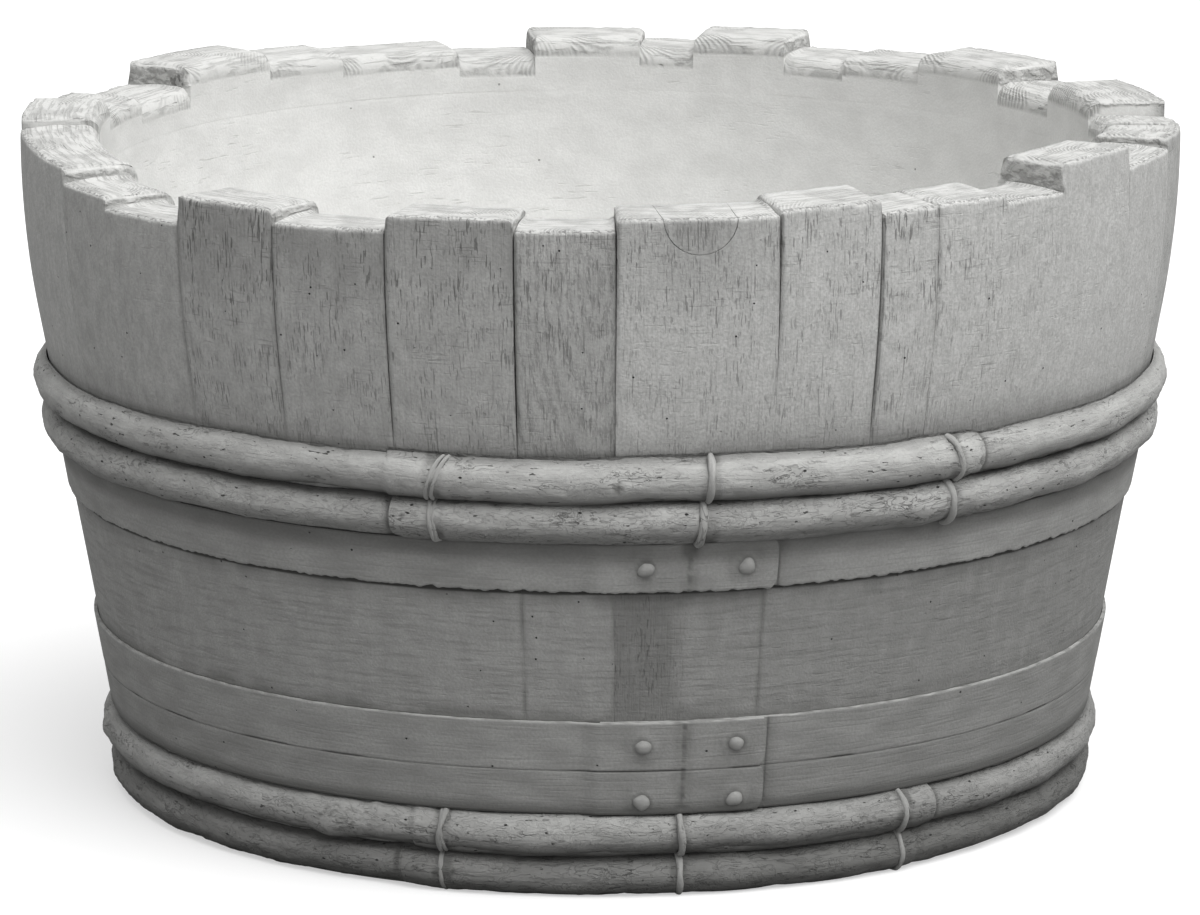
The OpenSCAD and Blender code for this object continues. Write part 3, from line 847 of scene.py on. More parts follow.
class PLANTER_OT_bung_plug(Operator):
    """Cut the seat in its stave and model the bung plug, which the rim cuts in half"""

    bl_idname = "planter.bung_plug"
    bl_label = "Bung plug"

    radius: length_prop("Radius", 27 * MM, "Radius of the bung plug")
    groove: length_prop("Groove", 0.45 * MM, "Width of the joint round the plug")
    sunk: length_prop("Sunk", 0.5 * MM, "How far the plug lies behind the stave's face")

    def cut(self, body, radius, mode):
        """The mesh of a body after a round bar through the wall is cut out of it or kept"""
        bar = bmesh.new()
        bmesh.ops.create_cone(bar, cap_ends=True, segments=72, radius1=radius, radius2=radius, depth=0.3)
        bmesh.ops.rotate(bar, verts=bar.verts, cent=(0, 0, 0), matrix=tilt("X", math.pi / 2))
        bmesh.ops.translate(bar, verts=bar.verts, vec=(0, -RIM_R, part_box(BUNG_STAVE)[1].z))
        bmesh.ops.rotate(bar, verts=bar.verts, cent=(0, 0, 0), matrix=tilt("Z", BUNG_ANGLE))
        mesh = bpy.data.meshes.new("bar")
        bar.to_mesh(mesh)
        bar.free()
        cutter = bpy.data.objects.new("bar", mesh)
        bpy.context.scene.collection.objects.link(cutter)
        cutting = body.modifiers.new("Bung", "BOOLEAN")
        cutting.object, cutting.operation, cutting.solver = cutter, mode, "EXACT"
        depsgraph = bpy.context.evaluated_depsgraph_get()
        made = bpy.data.meshes.new_from_object(body.evaluated_get(depsgraph))
        body.modifiers.remove(cutting)
        bpy.data.objects.remove(cutter)
        bpy.data.meshes.remove(mesh)
        bm = bmesh.new()
        bm.from_mesh(made)
        bpy.data.meshes.remove(made)
        return bm

    def execute(self, context):
        stave = Stave(BUNG_STAVE, Wall())
        body = bpy.data.objects[f"cast_{BUNG_STAVE}"]
        seat = self.cut(body, self.radius + self.groove / 2, "DIFFERENCE")
        plug = self.cut(body, self.radius - self.groove / 2, "INTERSECT")
        # the joint closes towards the inside, where the plug is driven tight
        for vert in plug.verts:
            radius, angle, z = polar_of(vert.co)
            across, up = (angle - BUNG_ANGLE) * radius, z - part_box(BUNG_STAVE)[1].z
            if radius > stave.wall.rim - stave.wall.thick / 2:
                vert.co = polar(radius - self.sunk, angle, z)
            elif math.hypot(across, up) > self.radius - self.groove:
                wider = self.groove * 0.45 / self.radius
                vert.co = polar(radius, angle + across * wider / radius, z + min(0, up * wider))
        mark_stave(seat, stave)
        mark_stave(plug, stave, 0.03)
        seat.to_mesh(body.data)
        seat.free()
        body.data.shade_smooth()
        body.data.set_sharp_from_angle(angle=math.radians(50))
        make_object(plug, "cast_bung_plug", body.data.materials[0], ["bung_plug"])
        return {"FINISHED"}


def tilt(axis, angle):
    """A turn round one axis"""
    return Matrix.Rotation(angle, 3, axis)


# ---- coat and floor ------------------------------------------------------------------------------

ROUND_STEPS = 360  # steps of the coat round the barrel


class PLANTER_OT_coat(Operator):
    """Model the smooth coat on the inner wall and floor, round the drain hole"""

    bl_idname = "planter.coat"
    bl_label = "Inner coat"

    bowl: length_prop("Bowl", 40 * MM, "Rounding between the wall and the floor")
    drain: length_prop("Drain hole", 20 * MM, "Radius of the drain hole")
    floor: length_prop("Floor", 20 * MM, "Thickness of the coat on the floor")

    def execute(self, context):
        wall = Wall()
        back_steps, wall_steps, bowl_steps, floor_steps, lip_steps = 6, 60, 8, 34, 3
        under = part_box("inner_coat")[0].z
        bed = under + self.floor
        lip = 5 * MM
        arc_z = bed + self.bowl
        arc_x = wall.radius(arc_z) - wall.thick - self.bowl / math.cos(wall.lean)
        outline = [(self.drain, under)]
        back_top = wall.coat_top - 9 * MM
        for k in range(back_steps + 1):
            z = under + (back_top - under) * k / back_steps
            outline.append((wall.radius(z) - wall.thick + wall.coat, z))
        # the edge tapers off behind the staves' inner face, so that no joint shows
        tuck_z = wall.coat_top + 5 * MM
        outline.append((wall.radius(tuck_z) - wall.thick + 0.8 * MM, tuck_z))
        wall_top = wall.coat_top - 3 * MM
        for k in range(wall_steps + 1):
            z = wall_top + (arc_z - wall_top) * k / wall_steps
            outline.append((wall.radius(z) - wall.thick, z))
        for k in range(1, bowl_steps + 1):
            a = -wall.lean - (math.pi / 2 - wall.lean) * k / bowl_steps
            outline.append((arc_x + self.bowl * math.cos(a), arc_z + self.bowl * math.sin(a)))
        for k in range(1, floor_steps + 1):
            outline.append((arc_x + (self.drain + lip - arc_x) * k / floor_steps, bed))
        for k in range(1, lip_steps + 1):
            a = math.pi / 2 * k / lip_steps
            outline.append((self.drain + lip - lip * math.sin(a), bed - lip + lip * math.cos(a)))
        bm = bmesh.new()
        corners = [bm.verts.new((0, -radius, z)) for radius, z in outline]
        edges = [bm.edges.new((corners[k - 1], corners[k])) for k in range(len(corners))]
        bmesh.ops.spin(
            bm, geom=corners + edges, cent=(0, 0, 0), axis=(0, 0, 1), angle=2 * math.pi, steps=ROUND_STEPS,
            use_merge=True,
        )
        bmesh.ops.remove_doubles(bm, verts=bm.verts, dist=0.01 * MM)
        for vert in bm.verts:
            radius, angle, z = polar_of(vert.co)
            face = wall.radius(z) - wall.thick
            if z > arc_z and radius < face + 1 * MM:
                vert.co = polar(radius + wall.inner(angle, z) - face, angle, z)
            elif z > under + 1 * MM and radius < face + 1 * MM:
                dip = 0.9 * MM * field(vert.co.x, vert.co.y, z, 70 * MM)
                to_wall = ramp(arc_x, face, radius)
                vert.co = polar(radius + to_wall * (wall.inner(angle, z) - face), angle, z + dip * (1 - to_wall))
        make_object(bm, "trowelled_coat", coat_stone(), ["inner_coat"])
        return {"FINISHED"}


class PLANTER_OT_floor(Operator):
    """Give the floor boards and their dowels, which the coat hides from above, plain cast stone"""

    bl_idname = "planter.floor"
    bl_label = "Floor boards"

    def execute(self, context):
        material = board_stone()
        for name, node in NODES.items():
            if name.startswith("floor_board") or name == "board_dowels":
                node.data.materials.clear()
                node.data.materials.append(material)
        return {"FINISHED"}


# ---- hoops and ties ------------------------------------------------------------------------------

# For each hoop: the angle where its outer lapped end stops, the direction it runs in, how far its
# inner strand shows above (+) or below (-) the outer one in mm, how torn the end and how rugged the bark is
HOOP_LAPS = {
    "hoop_1": (40.0, 1, 2.6, 1.0, 0.15),
    "hoop_2": (-20.6, -1, -2.4, 0.0, 0.35),
    "hoop_3": (39.9, 1, -2.6, 0.0, 0.3),
    "hoop_4": (-22.7, -1, 1.2, 0.2, 0.45),
}
# Knots: hoop, angle from the front, turn round the rod (0 is outward, 90 is up), radius and height in mm
KNOTS = (
    ("hoop_3", -29.5, -5, 24, 3.0), ("hoop_3", -31.5, -55, 17, 3.0), ("hoop_3", -25.5, 50, 7, 1.6),
    ("hoop_3", -34, 30, 12, 1.6), ("hoop_1", 2.0, -15, 10, 1.2),
    ("hoop_2", 5.5, 10, 12, 1.5), ("hoop_2", -14, 0, 16, 1.3), ("hoop_1", -62, 10, 14, 1.5),
    ("hoop_2", 33, -30, 14, 1.6), ("hoop_3", 12, 20, 10, 1.2), ("hoop_4", 4, 0, 14, 1.2),
    ("hoop_1", 96, 0, 16, 1.8), ("hoop_2", 128, 10, 18, 1.8), ("hoop_3", 151, -10, 16, 2.0),
    ("hoop_4", -112, 0, 16, 1.6), ("hoop_1", -140, 15, 15, 1.6), ("hoop_2", -96, 0, 14, 1.4),
    ("hoop_3", 75, 5, 14, 1.5), ("hoop_3", -82, 0, 15, 1.7), ("hoop_1", 1.7, -8, 4.5, -2.2),
    ("hoop_1", -3.4, -25, 2.5, 1.4), ("hoop_2", -19.2, 5, 2.5, -1.6), ("hoop_4", -16.2, 5, 2.5, -1.6),
)
WHORLED_SIZE = 18  # radius in mm from which a knot shows its whorls
HOOP_STEPS = 1150  # rings of points along a hoop
CLEAR = 0.3 * MM  # how far the lowest pieces stay above the ground


class Hoop:
    """A hoop's place, worked out from its CAD node"""

    def __init__(self, name, wall):
        low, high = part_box(name)
        self.name, self.wall, self.number = name, wall, int(name[-1])
        self.z = (low.z + high.z) / 2
        self.radius = (high.z - low.z) / 2 + 0.3 * MM
        self.centre = wall.radius(self.z) - 3 * MM
        self.end, self.way, self.strand, self.torn, self.rugged = HOOP_LAPS[name]
        self.lap = 61.0 if self.way > 0 else 60.6  # how far the ends lap, in degrees

    def middle(self, angle):
        """How far the rod wanders up and outward at an angle in radians"""
        wave = bpy.context.scene.planter_hoop_look.wave
        x, y = math.sin(angle), math.cos(angle)
        up = wave * (field(x, y, self.number * 3.1, 0.35) + 0.5 * field(x, y, self.number * 5.3, 0.12))
        out = wave * 0.6 * field(x, y, self.number * 7.7, 0.2)
        return up, min(out, 0.4 * MM)


def knots_at(hoop, angle, section):
    """How far the knots raise a point of a hoop, how deep it lies in a hollow one, and its place
    beside a knot with whorls, which is far off elsewhere"""
    raised, hollow, whorl = 0.0, 0.0, (1.0, 1.0, 0.0)
    for owner, where, turn_up, size, height in KNOTS:
        along = turn_from(math.radians(where), angle) * hoop.centre
        if owner == hoop.name and abs(along) <= 2 * size * MM:
            around = turn_from(math.radians(turn_up), section) * hoop.radius
            away = math.hypot(along, around) / (size * MM)
            raised += height * MM * ramp(1.1, 0.2, away)
            hollow += ramp(1.1, 0.3, away) if height < 0 else 0.0
            if size >= WHORLED_SIZE:
                whorl = (along * 0.6, around, 0.0)
    return raised, hollow, whorl


def hoop_painted_shade(hoop, ties, angle, section, past_end, to_wall):
    """How dark a point of a hoop is painted: painted shade in the groove between a pair, beside ties, along the wall
    and underneath, painted shadow at the lapped end; the lower pair is darker all over, with painted shade on its
    right"""
    beside_tie = 0.0
    for tie in ties:
        offset = abs(turn_from(tie, angle)) * hoop.centre
        patchy = 0.6 + field(section, angle * 40, 0, 0.8)
        beside_tie = max(beside_tie, 0.7 * ramp(9 * MM, 4 * MM, offset) * patchy)
    to_pair = math.sin(section) * (-1 if hoop.number % 2 else 1)
    groove = ramp(0.6, 0.97, to_pair) * 0.55 + beside_tie
    at_end = 0.9 * ramp(6 * MM, 2 * MM, past_end) if past_end > 0 else 0.0
    beneath = 0.5 * ramp(0.0, -0.9, math.sin(section))
    extra_dark = {"hoop_3": 0.2, "hoop_4": 0.65}.get(hoop.name, 0.0)
    if extra_dark:
        extra_dark += 0.3 * shaded_side(angle, 0.3)
    return groove + ramp(7 * MM, 1 * MM, to_wall) * 0.5 + at_end + beneath + extra_dark


def hoop_mesh(hoop):
    """A hoop: a straight rod is given its bark and knots and bent round the barrel, ends lapped"""
    look = bpy.context.scene.planter_hoop_look
    wall, seed = hoop.wall, hoop.number * 11.3
    full, lap = 2 * math.pi, math.radians(hoop.lap)
    turn = full + lap
    start = math.radians(hoop.end) - hoop.way * turn
    length = turn * hoop.centre
    bm = rod(hoop.radius, length, bpy.context.scene.planter_stage.segments, HOOP_STEPS, 1.5 * MM)
    rows = []
    ties = [tie_angle(name) for name in TIES if name.startswith("upper") == (hoop.number < 3)]
    for vert in bm.verts:
        travel = vert.co.z
        ring = math.hypot(vert.co.x, vert.co.y)
        section = math.atan2(vert.co.y, vert.co.x)
        bent = travel / length * turn
        angle = start + hoop.way * bent
        # bark: long ridges, lumps, dents and knots
        u, v, w = travel, math.cos(section) * hoop.radius, math.sin(section) * hoop.radius
        ridge = 0.55 * field(u * 0.25, v + seed, w, 6 * MM) + 0.35 * field(u * 0.5 + 3, v + seed, w, 3.5 * MM)
        lump = 1.1 * field(u, v * 0.6 + seed, w * 0.6, 40 * MM)
        dent = max(0.0, field(u * 0.8 + 9, v + seed, w, 9 * MM) - 0.35) * 2.2
        raised, hollow, whorl = knots_at(hoop, angle, section)
        grow = look.bark * (ridge + lump - dent) + raised
        # the inner strand of the lap lies behind and to one side, and the outer one stands proud
        inner = ramp(lap, lap - 0.02, bent)
        outer = ramp(full - 0.004, full + 0.01, bent)
        up, out = hoop.middle(angle)
        up += hoop.strand * MM * (inner - 0.4 * outer)
        out += MM * (2.6 * outer - 2.2 * inner)
        past_end = (bent - lap) * hoop.centre
        if past_end > 0:
            out -= 1.6 * MM * ramp(70 * MM, 0, past_end)
        at_end = ramp(18 * MM, 0, length - travel) * outer
        ragged = 0.5 + 0.9 * field(section, seed, 0, 0.9) + 0.9 * field(section, seed, 3, 0.35)
        tear = hoop.torn * at_end * max(0.0, ragged + 0.6 * ramp(0.5, -0.6, math.sin(section)))
        ring -= tear * (1.6 + 1.4 * field(section * 2, travel, 5, 4 * MM)) * MM
        angle -= hoop.way * tear * 7 * MM / hoop.centre
        ring += grow * (1 if ring > hoop.radius * 0.98 else 0.3)
        z = max(hoop.z + up + ring * math.sin(section), CLEAR)
        radius = max(hoop.centre + out + ring * math.cos(section), wall.radius(z) + 0.3 * MM)
        vert.co = polar(radius, angle, z)
        # The hoop is darker inside hollow knots, and painted shade and shadow are added in its grooves, along the
        # wall, underneath and at the lap
        dirt_and_shade = hollow + hoop_painted_shade(hoop, ties, angle, section, past_end, radius - wall.radius(z))
        rows.append((
            (travel, (section + math.pi) * hoop.radius, seed), (hoop.rugged, 0, min(1.0, dirt_and_shade)), whorl,
        ))
    keep(bm, ("grain", "wear", "whorl"), rows)
    return bm


class PLANTER_OT_hoops(Operator):
    """Model the four hoops: peeled rods with bark, knots and lapped ends"""

    bl_idname = "planter.hoops"
    bl_label = "Hoops"

    def execute(self, context):
        wall, material = Wall(), bark_stone()
        for name in HOOP_LAPS:
            make_object(hoop_mesh(Hoop(name, wall)), f"bark_{name}", material, [name])
        return {"FINISHED"}


STRAND_SIDES, STRAND_STEPS = 14, 44  # of a tie's strand, round and along
LAPPED = math.radians(-21), math.radians(41)  # where the hoops lie double and the ties reach round both
# For each tie: the strands over the upper and the lower hoop. A strand has its place sideways in mm
# at the top of the hoop and at its bottom, and its radius in parts of the usual one.
TIES = {
    "upper_tie_1": (((7.0, -6.5, 0.62), (11.0, -2.0, 0.62)), ((-4.5, -1.0, 0.75), (-1.0, 1.0, 0.6))),
    "upper_tie_2": (((1.5, -0.5, 1.0),), ((-3.5, -7.0, 1.15),)),
    "upper_tie_3": (((-4.0, 4.0, 0.95),), ((-2.0, 1.0, 1.1),)),
    "lower_tie_1": (((3.0, -2.0, 0.85), (-1.5, 1.5, 0.6)), ((-2.0, 0.0, 0.7),)),
    "lower_tie_2": (((-1.0, 2.0, 1.0),), ((0.0, 1.0, 0.9),)),
    "lower_tie_3": (((-1.5, 1.0, 0.95),), ((0.5, 1.5, 0.8),)),
}


def tie_angle(name):
    """Where a tie stands, as an angle from the front"""
    low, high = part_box(name)
    return math.atan2((low.x + high.x) / 2, -(low.y + high.y) / 2)


def strand_mesh(bm, hoop, angle, top_side, low_side, radius, first, last, seed):
    """Adds a strand to a bmesh: a straight rod bent over the outside of a hoop, from one turn of the
    hoop's section to another"""
    reach = hoop.radius + radius * 0.35
    length = abs(last - first) * reach
    straight = rod(radius, length, STRAND_SIDES, STRAND_STEPS, radius * 0.3)
    rows = []
    extra_dark = 0.15 + 0.2 * (hoop.number > 2)
    lapped = LAPPED[0] < angle < LAPPED[1]
    for vert in straight.verts:
        t = vert.co.z / length
        over = first + (last - first) * t
        twist = math.atan2(vert.co.y, vert.co.x)
        ring = math.hypot(vert.co.x, vert.co.y) * (1 + 0.13 * math.cos(2 * twist + 16 * t + seed))
        sideways = top_side + (low_side - top_side) * ramp(0, 1, t) + 0.5 * MM * field(t * 3, seed, 0, 1.0)
        up, out = hoop.middle(angle)
        out += 1.3 * MM * lapped
        away = reach + ring * math.cos(twist) + 0.4 * MM * field(t * 5, seed, 1, 1.0)
        z = max(hoop.z + up + away * math.sin(over), CLEAR)
        r = max(hoop.centre + out + away * math.cos(over), hoop.wall.radius(z) + 0.2 * MM)
        vert.co = polar(r, angle + (sideways + ring * math.sin(twist)) / hoop.centre, z)
        # Painted shade on the side of the strand that lies against the hoop, over the tie's own darker colour, darker
        # on the lower pair
        grime_and_shade = min(1.0, extra_dark + ramp(0.35, -0.6, math.cos(twist)) * 0.9)
        rows.append(((t * length, twist * radius, seed), (0, 0, grime_and_shade)))
    keep(straight, ("grain", "wear"), rows)
    join(bm, straight)


class PLANTER_OT_ties(Operator):
    """Model the ties that bind the hoops in pairs"""

    bl_idname = "planter.ties"
    bl_label = "Ties"

    def execute(self, context):
        wall, material = Wall(), bark_stone()
        radius = context.scene.planter_hoop_look.strand
        for number, (name, (upper, lower)) in enumerate(TIES.items()):
            angle = tie_angle(name)
            pair = (1, 2) if name.startswith("upper") else (3, 4)
            bm = bmesh.new()
            for hoop_number, strands, first, last in (
                (pair[0], upper, math.radians(118), math.radians(-72)),
                (pair[1], lower, math.radians(80), math.radians(-112)),
            ):
                hoop = Hoop(f"hoop_{hoop_number}", wall)
                for top_side, low_side, size in strands:
                    strand_mesh(
                        bm, hoop, angle, top_side * MM, low_side * MM, radius * size, first, last,
                        number * 2.3 + hoop_number,
                    )
            make_object(bm, f"bark_{name}", material, [name])
        return {"FINISHED"}


# ---- bands and rivets ----------------------------------------------------------------------------

BAND_GRID = 1500, 2, 20  # cells along, through and across a band
LAP_END = math.radians(17.9)
RIVET_ANGLES = [math.radians(4.5), math.radians(14.6)]
RIVET_DROPS = {"band_upper": 0.0, "band_middle": 0.0, "band_lower": 7 * MM}  # below the band's middle


class Band:
    """A band's place, worked out from its CAD node, and the wear of its edges"""

    def __init__(self, name):
        self.name = name
        self.low, self.high = (corner.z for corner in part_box(name))
        self.height = self.high - self.low
        self.rivet_z = (self.low + self.high) / 2 - RIVET_DROPS[name]
        self.seed = {"band_upper": 0.0, "band_middle": 7.0, "band_lower": 13.0}[name]

    def parted(self, angle, travel):
        """How far the joint between the middle and the lower band is open: only in places"""
        open_here = ramp(0.1, 0.4, field(travel, 21, 0, 45 * MM))
        return max(open_here, ramp(0.99, 0.998, math.cos(angle - 0.05)), 0.35)

    def edges(self, travel, parted):
        """How far the lower and the upper edge are worn away. The upper band's lower edge is the most
        ragged, and the edges at the hoops and at the joint are nearly straight."""
        seed, ragged = self.seed, bpy.context.scene.planter_band_look.ragged
        lower = ragged * (
            0.35 * field(travel, seed, 0, 30 * MM) + 0.8 * field(travel, seed, 1, 9 * MM)
            + 0.6 * field(travel, seed, 2, 4 * MM)
        )
        upper = 0.5 * ragged * (field(travel, seed, 4, 40 * MM) + 0.8 * field(travel, seed, 5, 9 * MM))
        if self.name == "band_upper":
            return max(0, lower + 0.4 * ragged), 0.0
        if self.name == "band_middle":
            return 0.0, abs(upper * 0.6)
        upper = 0.5 * ragged * max(0, field(travel, seed, 4, 60 * MM) - 0.2) * parted
        return max(0, lower * 0.1), abs(upper)

    def dirt_and_shade(self, angle, z, radius):
        """How dark a point is painted: painted shade under the hoop above the upper band and at the lower band's foot
        over the hoop below, and painted shadow just past the lap's end
        """
        grime_and_shade = 0.0
        if self.name == "band_upper":
            grime_and_shade = 0.68 * ramp(20 * MM, 7 * MM, self.high - z)
        past_end = (angle - LAP_END) * radius
        if 0 < past_end < 100 * MM:
            grime_and_shade += 0.9 * ramp(4 * MM, 1 * MM, past_end) + 0.25 * ramp(14 * MM, 2 * MM, past_end)
        if self.name == "band_lower":
            grime_and_shade += 0.9 * ramp(13 * MM, 0, z - self.low)
        return grime_and_shade


def band_mesh(name, wall):
    """A band: a gridded strap with uneven edges is bent round the barrel and lapped over its own end"""
    look = bpy.context.scene.planter_band_look
    band = Band(name)
    seed, full = band.seed, 2 * math.pi
    turn = full + LAP_END
    bm = block(BAND_GRID)
    rows = []
    for vert in bm.verts:
        angle = bent = vert.co.x * turn  # the inner end starts at the front
        share = crowd(vert.co.z, 0.8)
        depth = vert.co.y * look.thick
        x, y = math.sin(angle), math.cos(angle)
        travel = bent * wall.foot
        parted = band.parted(angle, travel)
        lower, upper = band.edges(travel, parted)
        z = band.low + band.height * share + lower * ramp(0.25, 0, share) - upper * ramp(0.65, 1, share)
        at_joint = ramp(0.5, 0.4, share if name == "band_middle" else 1 - share) * (name != "band_upper")
        if name == "band_middle":
            z -= 0.5 * MM * (1 - parted) * ramp(0.25, 0, share)
        # the lap: the strap steps out over its own end and stops in a curved edge
        step = ramp(full - math.radians(2.2), full, bent)
        bow = (share - 0.5) * 2
        if step > 0:
            corner = max(0.0, abs(bow) - 0.55) ** 2 * (16 * MM if bow < 0 else 7 * MM)
            angle -= (1.0 * MM * bow * bow + corner) / wall.foot * ramp(turn - 0.05, turn, bent)
        radius = wall.radius(z) + 0.2 * MM + (look.thick + 0.3 * MM) * step + look.thick - depth
        front = ramp(0.6, 0.0, vert.co.y)
        to_edge = min(share, 1 - share) * band.height
        radius += front * (0.35 * MM * field(x * 3, y * 3, z * 8 + seed, 0.25) - 0.2 * MM)
        radius -= front * ramp(1.2 * MM, 0, to_edge) * (1 - 0.8 * at_joint * (1 - parted)) * 0.6 * MM
        # soft swelling and grime round the rivets, and the mould's seam
        stain = seam = 0.0
        if step > 0:
            for rivet in RIVET_ANGLES:
                away = math.hypot((angle - full - rivet) * radius, z - band.rivet_z) / MM
                radius += front * 1.3 * MM * ramp(15, 4, away)
                stain += 0.5 * ramp(9, 6, away) + 0.25 * ramp(24, 8, away) * (0.7 + field(angle * 40, z * 60, 3, 1.0))
            off_seam = abs(angle - full - SEAM_ANGLE) * radius
            seam = ramp(2.5 * MM, 0.5 * MM, off_seam)
            stain += 0.3 * ramp(11 * MM, 1 * MM, off_seam) * (0.8 + field(z, angle, seed, 12 * MM))
            stain += 0.9 * seam * max(0.0, 0.5 + field(z, seed, 2, 5 * MM))
            radius += front * seam * 0.9 * MM * field(z, seed, 0, 5 * MM)
        vert.co = polar(radius, angle, z)
        # The band's lower edge face gets painted shadow
        ledge = 1.0 - front
        grime_and_shade = (band.dirt_and_shade(angle, z, radius) + stain) * (1 - 0.5 * ledge) + ramp(0.12, 0.0, share) * ledge
        grime_and_shade += 0.5 * parted * at_joint * ramp(1.0 * MM, 0.2 * MM, to_edge)
        # Painted shade on the right side, which the lamp lights more strongly; the lower band a little darker
        if name != "band_upper":
            grime_and_shade += 0.3 * shaded_side(angle, 0.3) + 0.1 * (name == "band_lower")
        # Painted highlight: a pale line along the middle band's top edge, broken where chipped
        ridge = 0.0
        if name == "band_middle":
            chipped = max(0.0, min(1.0, 0.6 + 2.2 * field(travel, seed, 6, 9 * MM)))
            ridge = 0.6 * ramp(0.8 * MM, 0.3 * MM, (1 - share) * band.height) * chipped
        rows.append(((travel, depth, z + seed), (0, ridge, min(1.0, grime_and_shade))))
    keep(bm, ("grain", "wear"), rows)
    return bm


class PLANTER_OT_bands(Operator):
    """Model the three flat bands with their lapped ends and uneven edges"""

    bl_idname = "planter.bands"
    bl_label = "Bands"

    def execute(self, context):
        wall, material = Wall(), strap_stone()
        for name in RIVET_DROPS:
            make_object(band_mesh(name, wall), f"strap_{name}", material, [name], crease=40)
        return {"FINISHED"}


class PLANTER_OT_rivets(Operator):
    """Model the rivets' domed heads, two in each lap"""

    bl_idname = "planter.rivets"
    bl_label = "Rivets"

    head: length_prop("Head", 5.6 * MM, "Radius of a rivet's head")
    rise: length_prop("Rise", 3.2 * MM, "Height of a rivet's head")

    def rivet(self, angle, z, seat, lean):
        """One rivet: a ball flattened into a domed head"""
        part = bmesh.new()
        bmesh.ops.create_uvsphere(part, u_segments=28, v_segments=18, radius=self.head)
        rows = []
        for vert in part.verts:
            up = vert.co.z / self.head
            uneven = 1.6 * MM * field(vert.co.x, vert.co.y + angle * 9, z, 7 * MM)
            wide = 1 + 0.1 * ramp(0.5, 0, abs(up)) + uneven / self.head
            sideways, upward = vert.co.x * wide, vert.co.y * wide
            radius = seat + self.rise * up * (1 if up > 0 else 1.2) + uneven * 0.4 + upward * math.tan(lean)
            vert.co = polar(radius, angle + sideways / seat, z + upward)
            # The crown is rubbed paler; round the foot of the head, where it meets the band, is painted shade
            rubbed, grime_and_shade = 0.5 * ramp(0.1, 0.9, up), 0.25 + 0.65 * ramp(0.35, 0.0, up)
            rows.append(((sideways + angle, upward, z), (rubbed, 0, grime_and_shade)))
        keep(part, ("grain", "wear"), rows)
        return part

    def execute(self, context):
        wall = Wall()
        thick = context.scene.planter_band_look.thick
        bm = bmesh.new()
        for name in RIVET_DROPS:
            z = Band(name).rivet_z
            for angle in RIVET_ANGLES:
                join(bm, self.rivet(angle, z, wall.radius(z) + 2 * thick + 1.0 * MM, wall.lean))
        material = bpy.data.materials["cast_stone_strap"]
        make_object(bm, "strap_rivets", material, ["band_rivets"])
        return {"FINISHED"}


# ---- stage ---------------------------------------------------------------------------------------

GROUND_REACH = 15  # metres from the middle to an edge
KEY_PLACE = (1.9, -1.9, 4.7)  # the main lamp shines from here to the middle of the foot


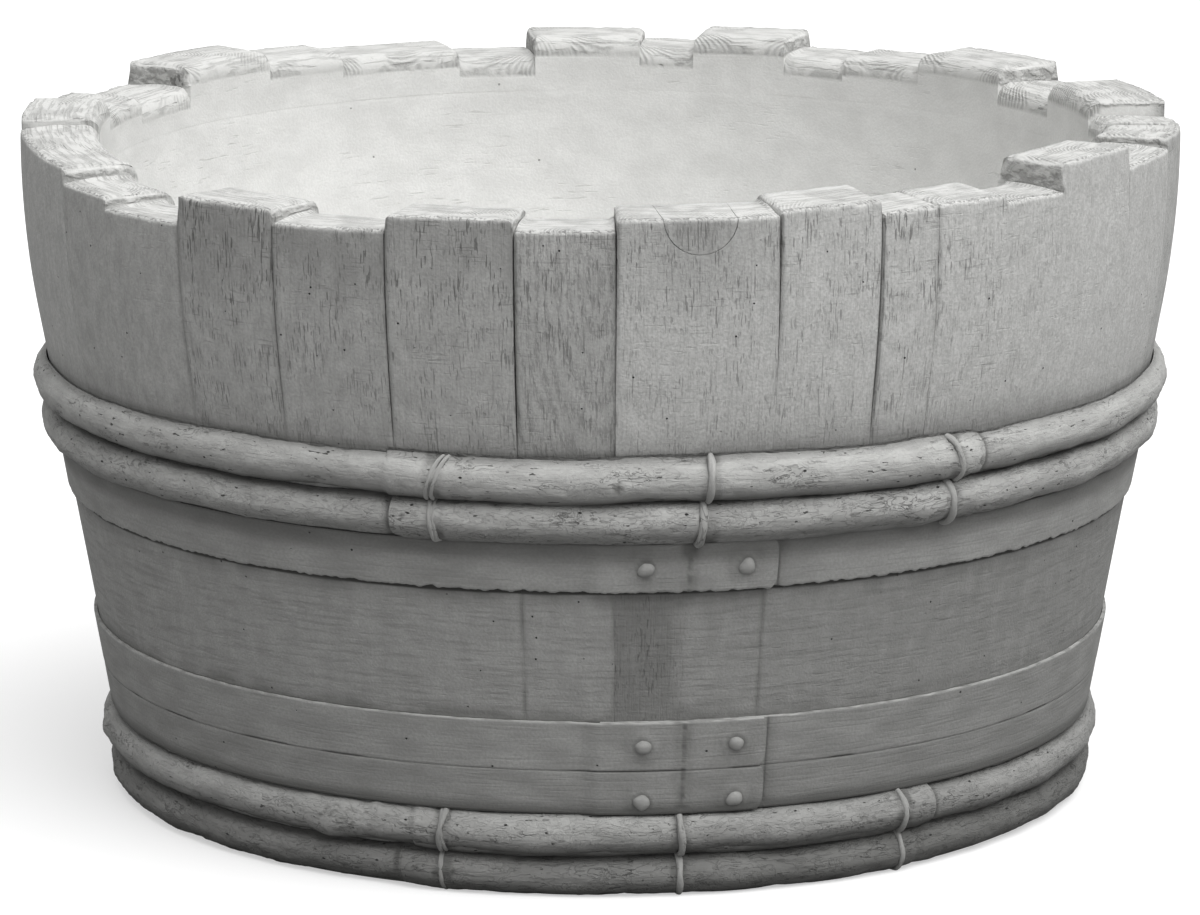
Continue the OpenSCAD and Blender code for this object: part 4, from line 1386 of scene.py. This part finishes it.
class PLANTER_OT_stage(Operator):
    """Set up the ground, the lamps and the camera at the photograph's angle"""

    bl_idname = "planter.stage"
    bl_label = "Stage"

    camera_place: FloatVectorProperty(
        name="Camera", default=(0.0, -5.3768, 1.4209), subtype="TRANSLATION", unit="LENGTH",
        description="Where the camera stands",
    )
    camera_pitch: FloatProperty(
        name="Pitch", default=math.radians(12.31), description="How far the camera looks down", subtype="ANGLE"
    )

    def execute(self, context):
        scene, look = context.scene, context.scene.planter_stage
        scene.view_settings.view_transform = "Standard"
        self.ground(scene, look)
        self.lamps(scene, look)
        lens = bpy.data.cameras.new("photo_camera")
        lens.sensor_width, lens.lens = 36, look.lens
        lens.clip_start, lens.clip_end = 0.1, 100
        camera = bpy.data.objects.new("photo_camera", lens)
        camera.location = self.camera_place
        camera.rotation_euler = (math.pi / 2 - self.camera_pitch, 0, 0)
        scene.collection.objects.link(camera)
        scene.camera = camera
        return {"FINISHED"}

    def ground(self, scene, look):
        """A wide pale floor, which runs out to white"""
        bm = bmesh.new()
        bmesh.ops.create_grid(bm, x_segments=1, y_segments=1, size=GROUND_REACH)
        mesh = bpy.data.meshes.new("ground")
        bm.to_mesh(mesh)
        bm.free()
        material, tree = new_material("pale_ground")
        seen = add(tree, "LightPath").outputs["Is Camera Ray"]
        shader = add(
            tree, "BsdfPrincipled",
            {
                "Base Color": painted(tree, look.bounce, (look.ground, seen)), "Roughness": 0.95,
                "Specular IOR Level": 0.0,
            },
        )
        white = add(tree, "Emission", {"Color": (1, 1, 1), "Strength": 1.0})
        mixed = add(tree, "MixShader", {0: overlap(tree, seen, 0.5), 1: shader, 2: white})
        add(tree, "OutputMaterial", {"Surface": mixed})
        mesh.materials.append(material)
        floor = bpy.data.objects.new("ground", mesh)
        scene.collection.objects.link(floor)

    def lamps(self, scene, look):
        """A white surround, light from all round and above, and a soft main lamp above on the right"""
        world = bpy.data.worlds.new("studio")
        scene.world = world
        world.use_nodes = True
        tree = world.node_tree
        tree.nodes.clear()
        rays = add(tree, "LightPath")
        seen = add(
            tree, "Math", {0: rays.outputs["Is Camera Ray"], 1: rays.outputs["Is Glossy Ray"]},
            operation="MAXIMUM",
        )
        way = add(tree, "TexCoord").outputs["Generated"]
        up = add(tree, "SeparateXYZ", {"Vector": way}).outputs["Z"]
        level = add(tree, "MapRange", {"Value": up, "To Min": look.horizon, "To Max": look.zenith})
        even = add(tree, "Background", {"Color": (1, 1, 1), "Strength": level})
        white = add(tree, "Background", {"Color": (1, 1, 1), "Strength": 1.0})
        mixed = add(tree, "MixShader", {0: seen, 1: even, 2: white})
        add(tree, "OutputWorld", {"Surface": mixed})
        lamp = bpy.data.lights.new("key_lamp", "SUN")
        lamp.energy, lamp.angle = look.key, look.spread
        key = bpy.data.objects.new("key_lamp", lamp)
        key.location = KEY_PLACE
        key.rotation_euler = (-key.location).to_track_quat("-Z", "Y").to_euler()
        scene.collection.objects.link(key)


# ---- add-on --------------------------------------------------------------------------------------

STEPS = ("staves", "bung_plug", "coat", "floor", "hoops", "ties", "bands", "rivets", "stage")


class PLANTER_PT_sidebar(Panel):
    """Lists the planter's pieces and their sizes and colours"""

    bl_idname = "PLANTER_PT_sidebar"
    bl_label = "Barrel planter"
    bl_space_type = "VIEW_3D"
    bl_region_type = "UI"
    bl_category = "Planter"

    def draw(self, context):
        for step in STEPS:
            self.layout.operator(f"planter.{step}")
        for name, group in GROUPS.items():
            box = self.layout.box()
            box.label(text=group.__doc__)
            for prop in group.__annotations__:
                box.prop(getattr(context.scene, name), prop)


GROUPS = {
    "planter_barrel": BarrelSizes,
    "planter_stave_look": StaveLook,
    "planter_hoop_look": HoopLook,
    "planter_band_look": BandLook,
    "planter_coat_look": CoatLook,
    "planter_stage": StageLook,
}
CLASSES = (
    *GROUPS.values(), PLANTER_OT_staves, PLANTER_OT_bung_plug, PLANTER_OT_coat, PLANTER_OT_floor,
    PLANTER_OT_hoops, PLANTER_OT_ties, PLANTER_OT_bands, PLANTER_OT_rivets, PLANTER_OT_stage,
    PLANTER_PT_sidebar,
)


def register():
    for cls in CLASSES:
        bpy.utils.register_class(cls)
    for name, group in GROUPS.items():
        setattr(bpy.types.Scene, name, PointerProperty(type=group))


def unregister():
    for name in GROUPS:
        delattr(bpy.types.Scene, name)
    for cls in reversed(CLASSES):
        bpy.utils.unregister_class(cls)


def main():
    register()
    for step in STEPS:
        getattr(bpy.ops.planter, step)()


if __name__ == "__main__":
    main()
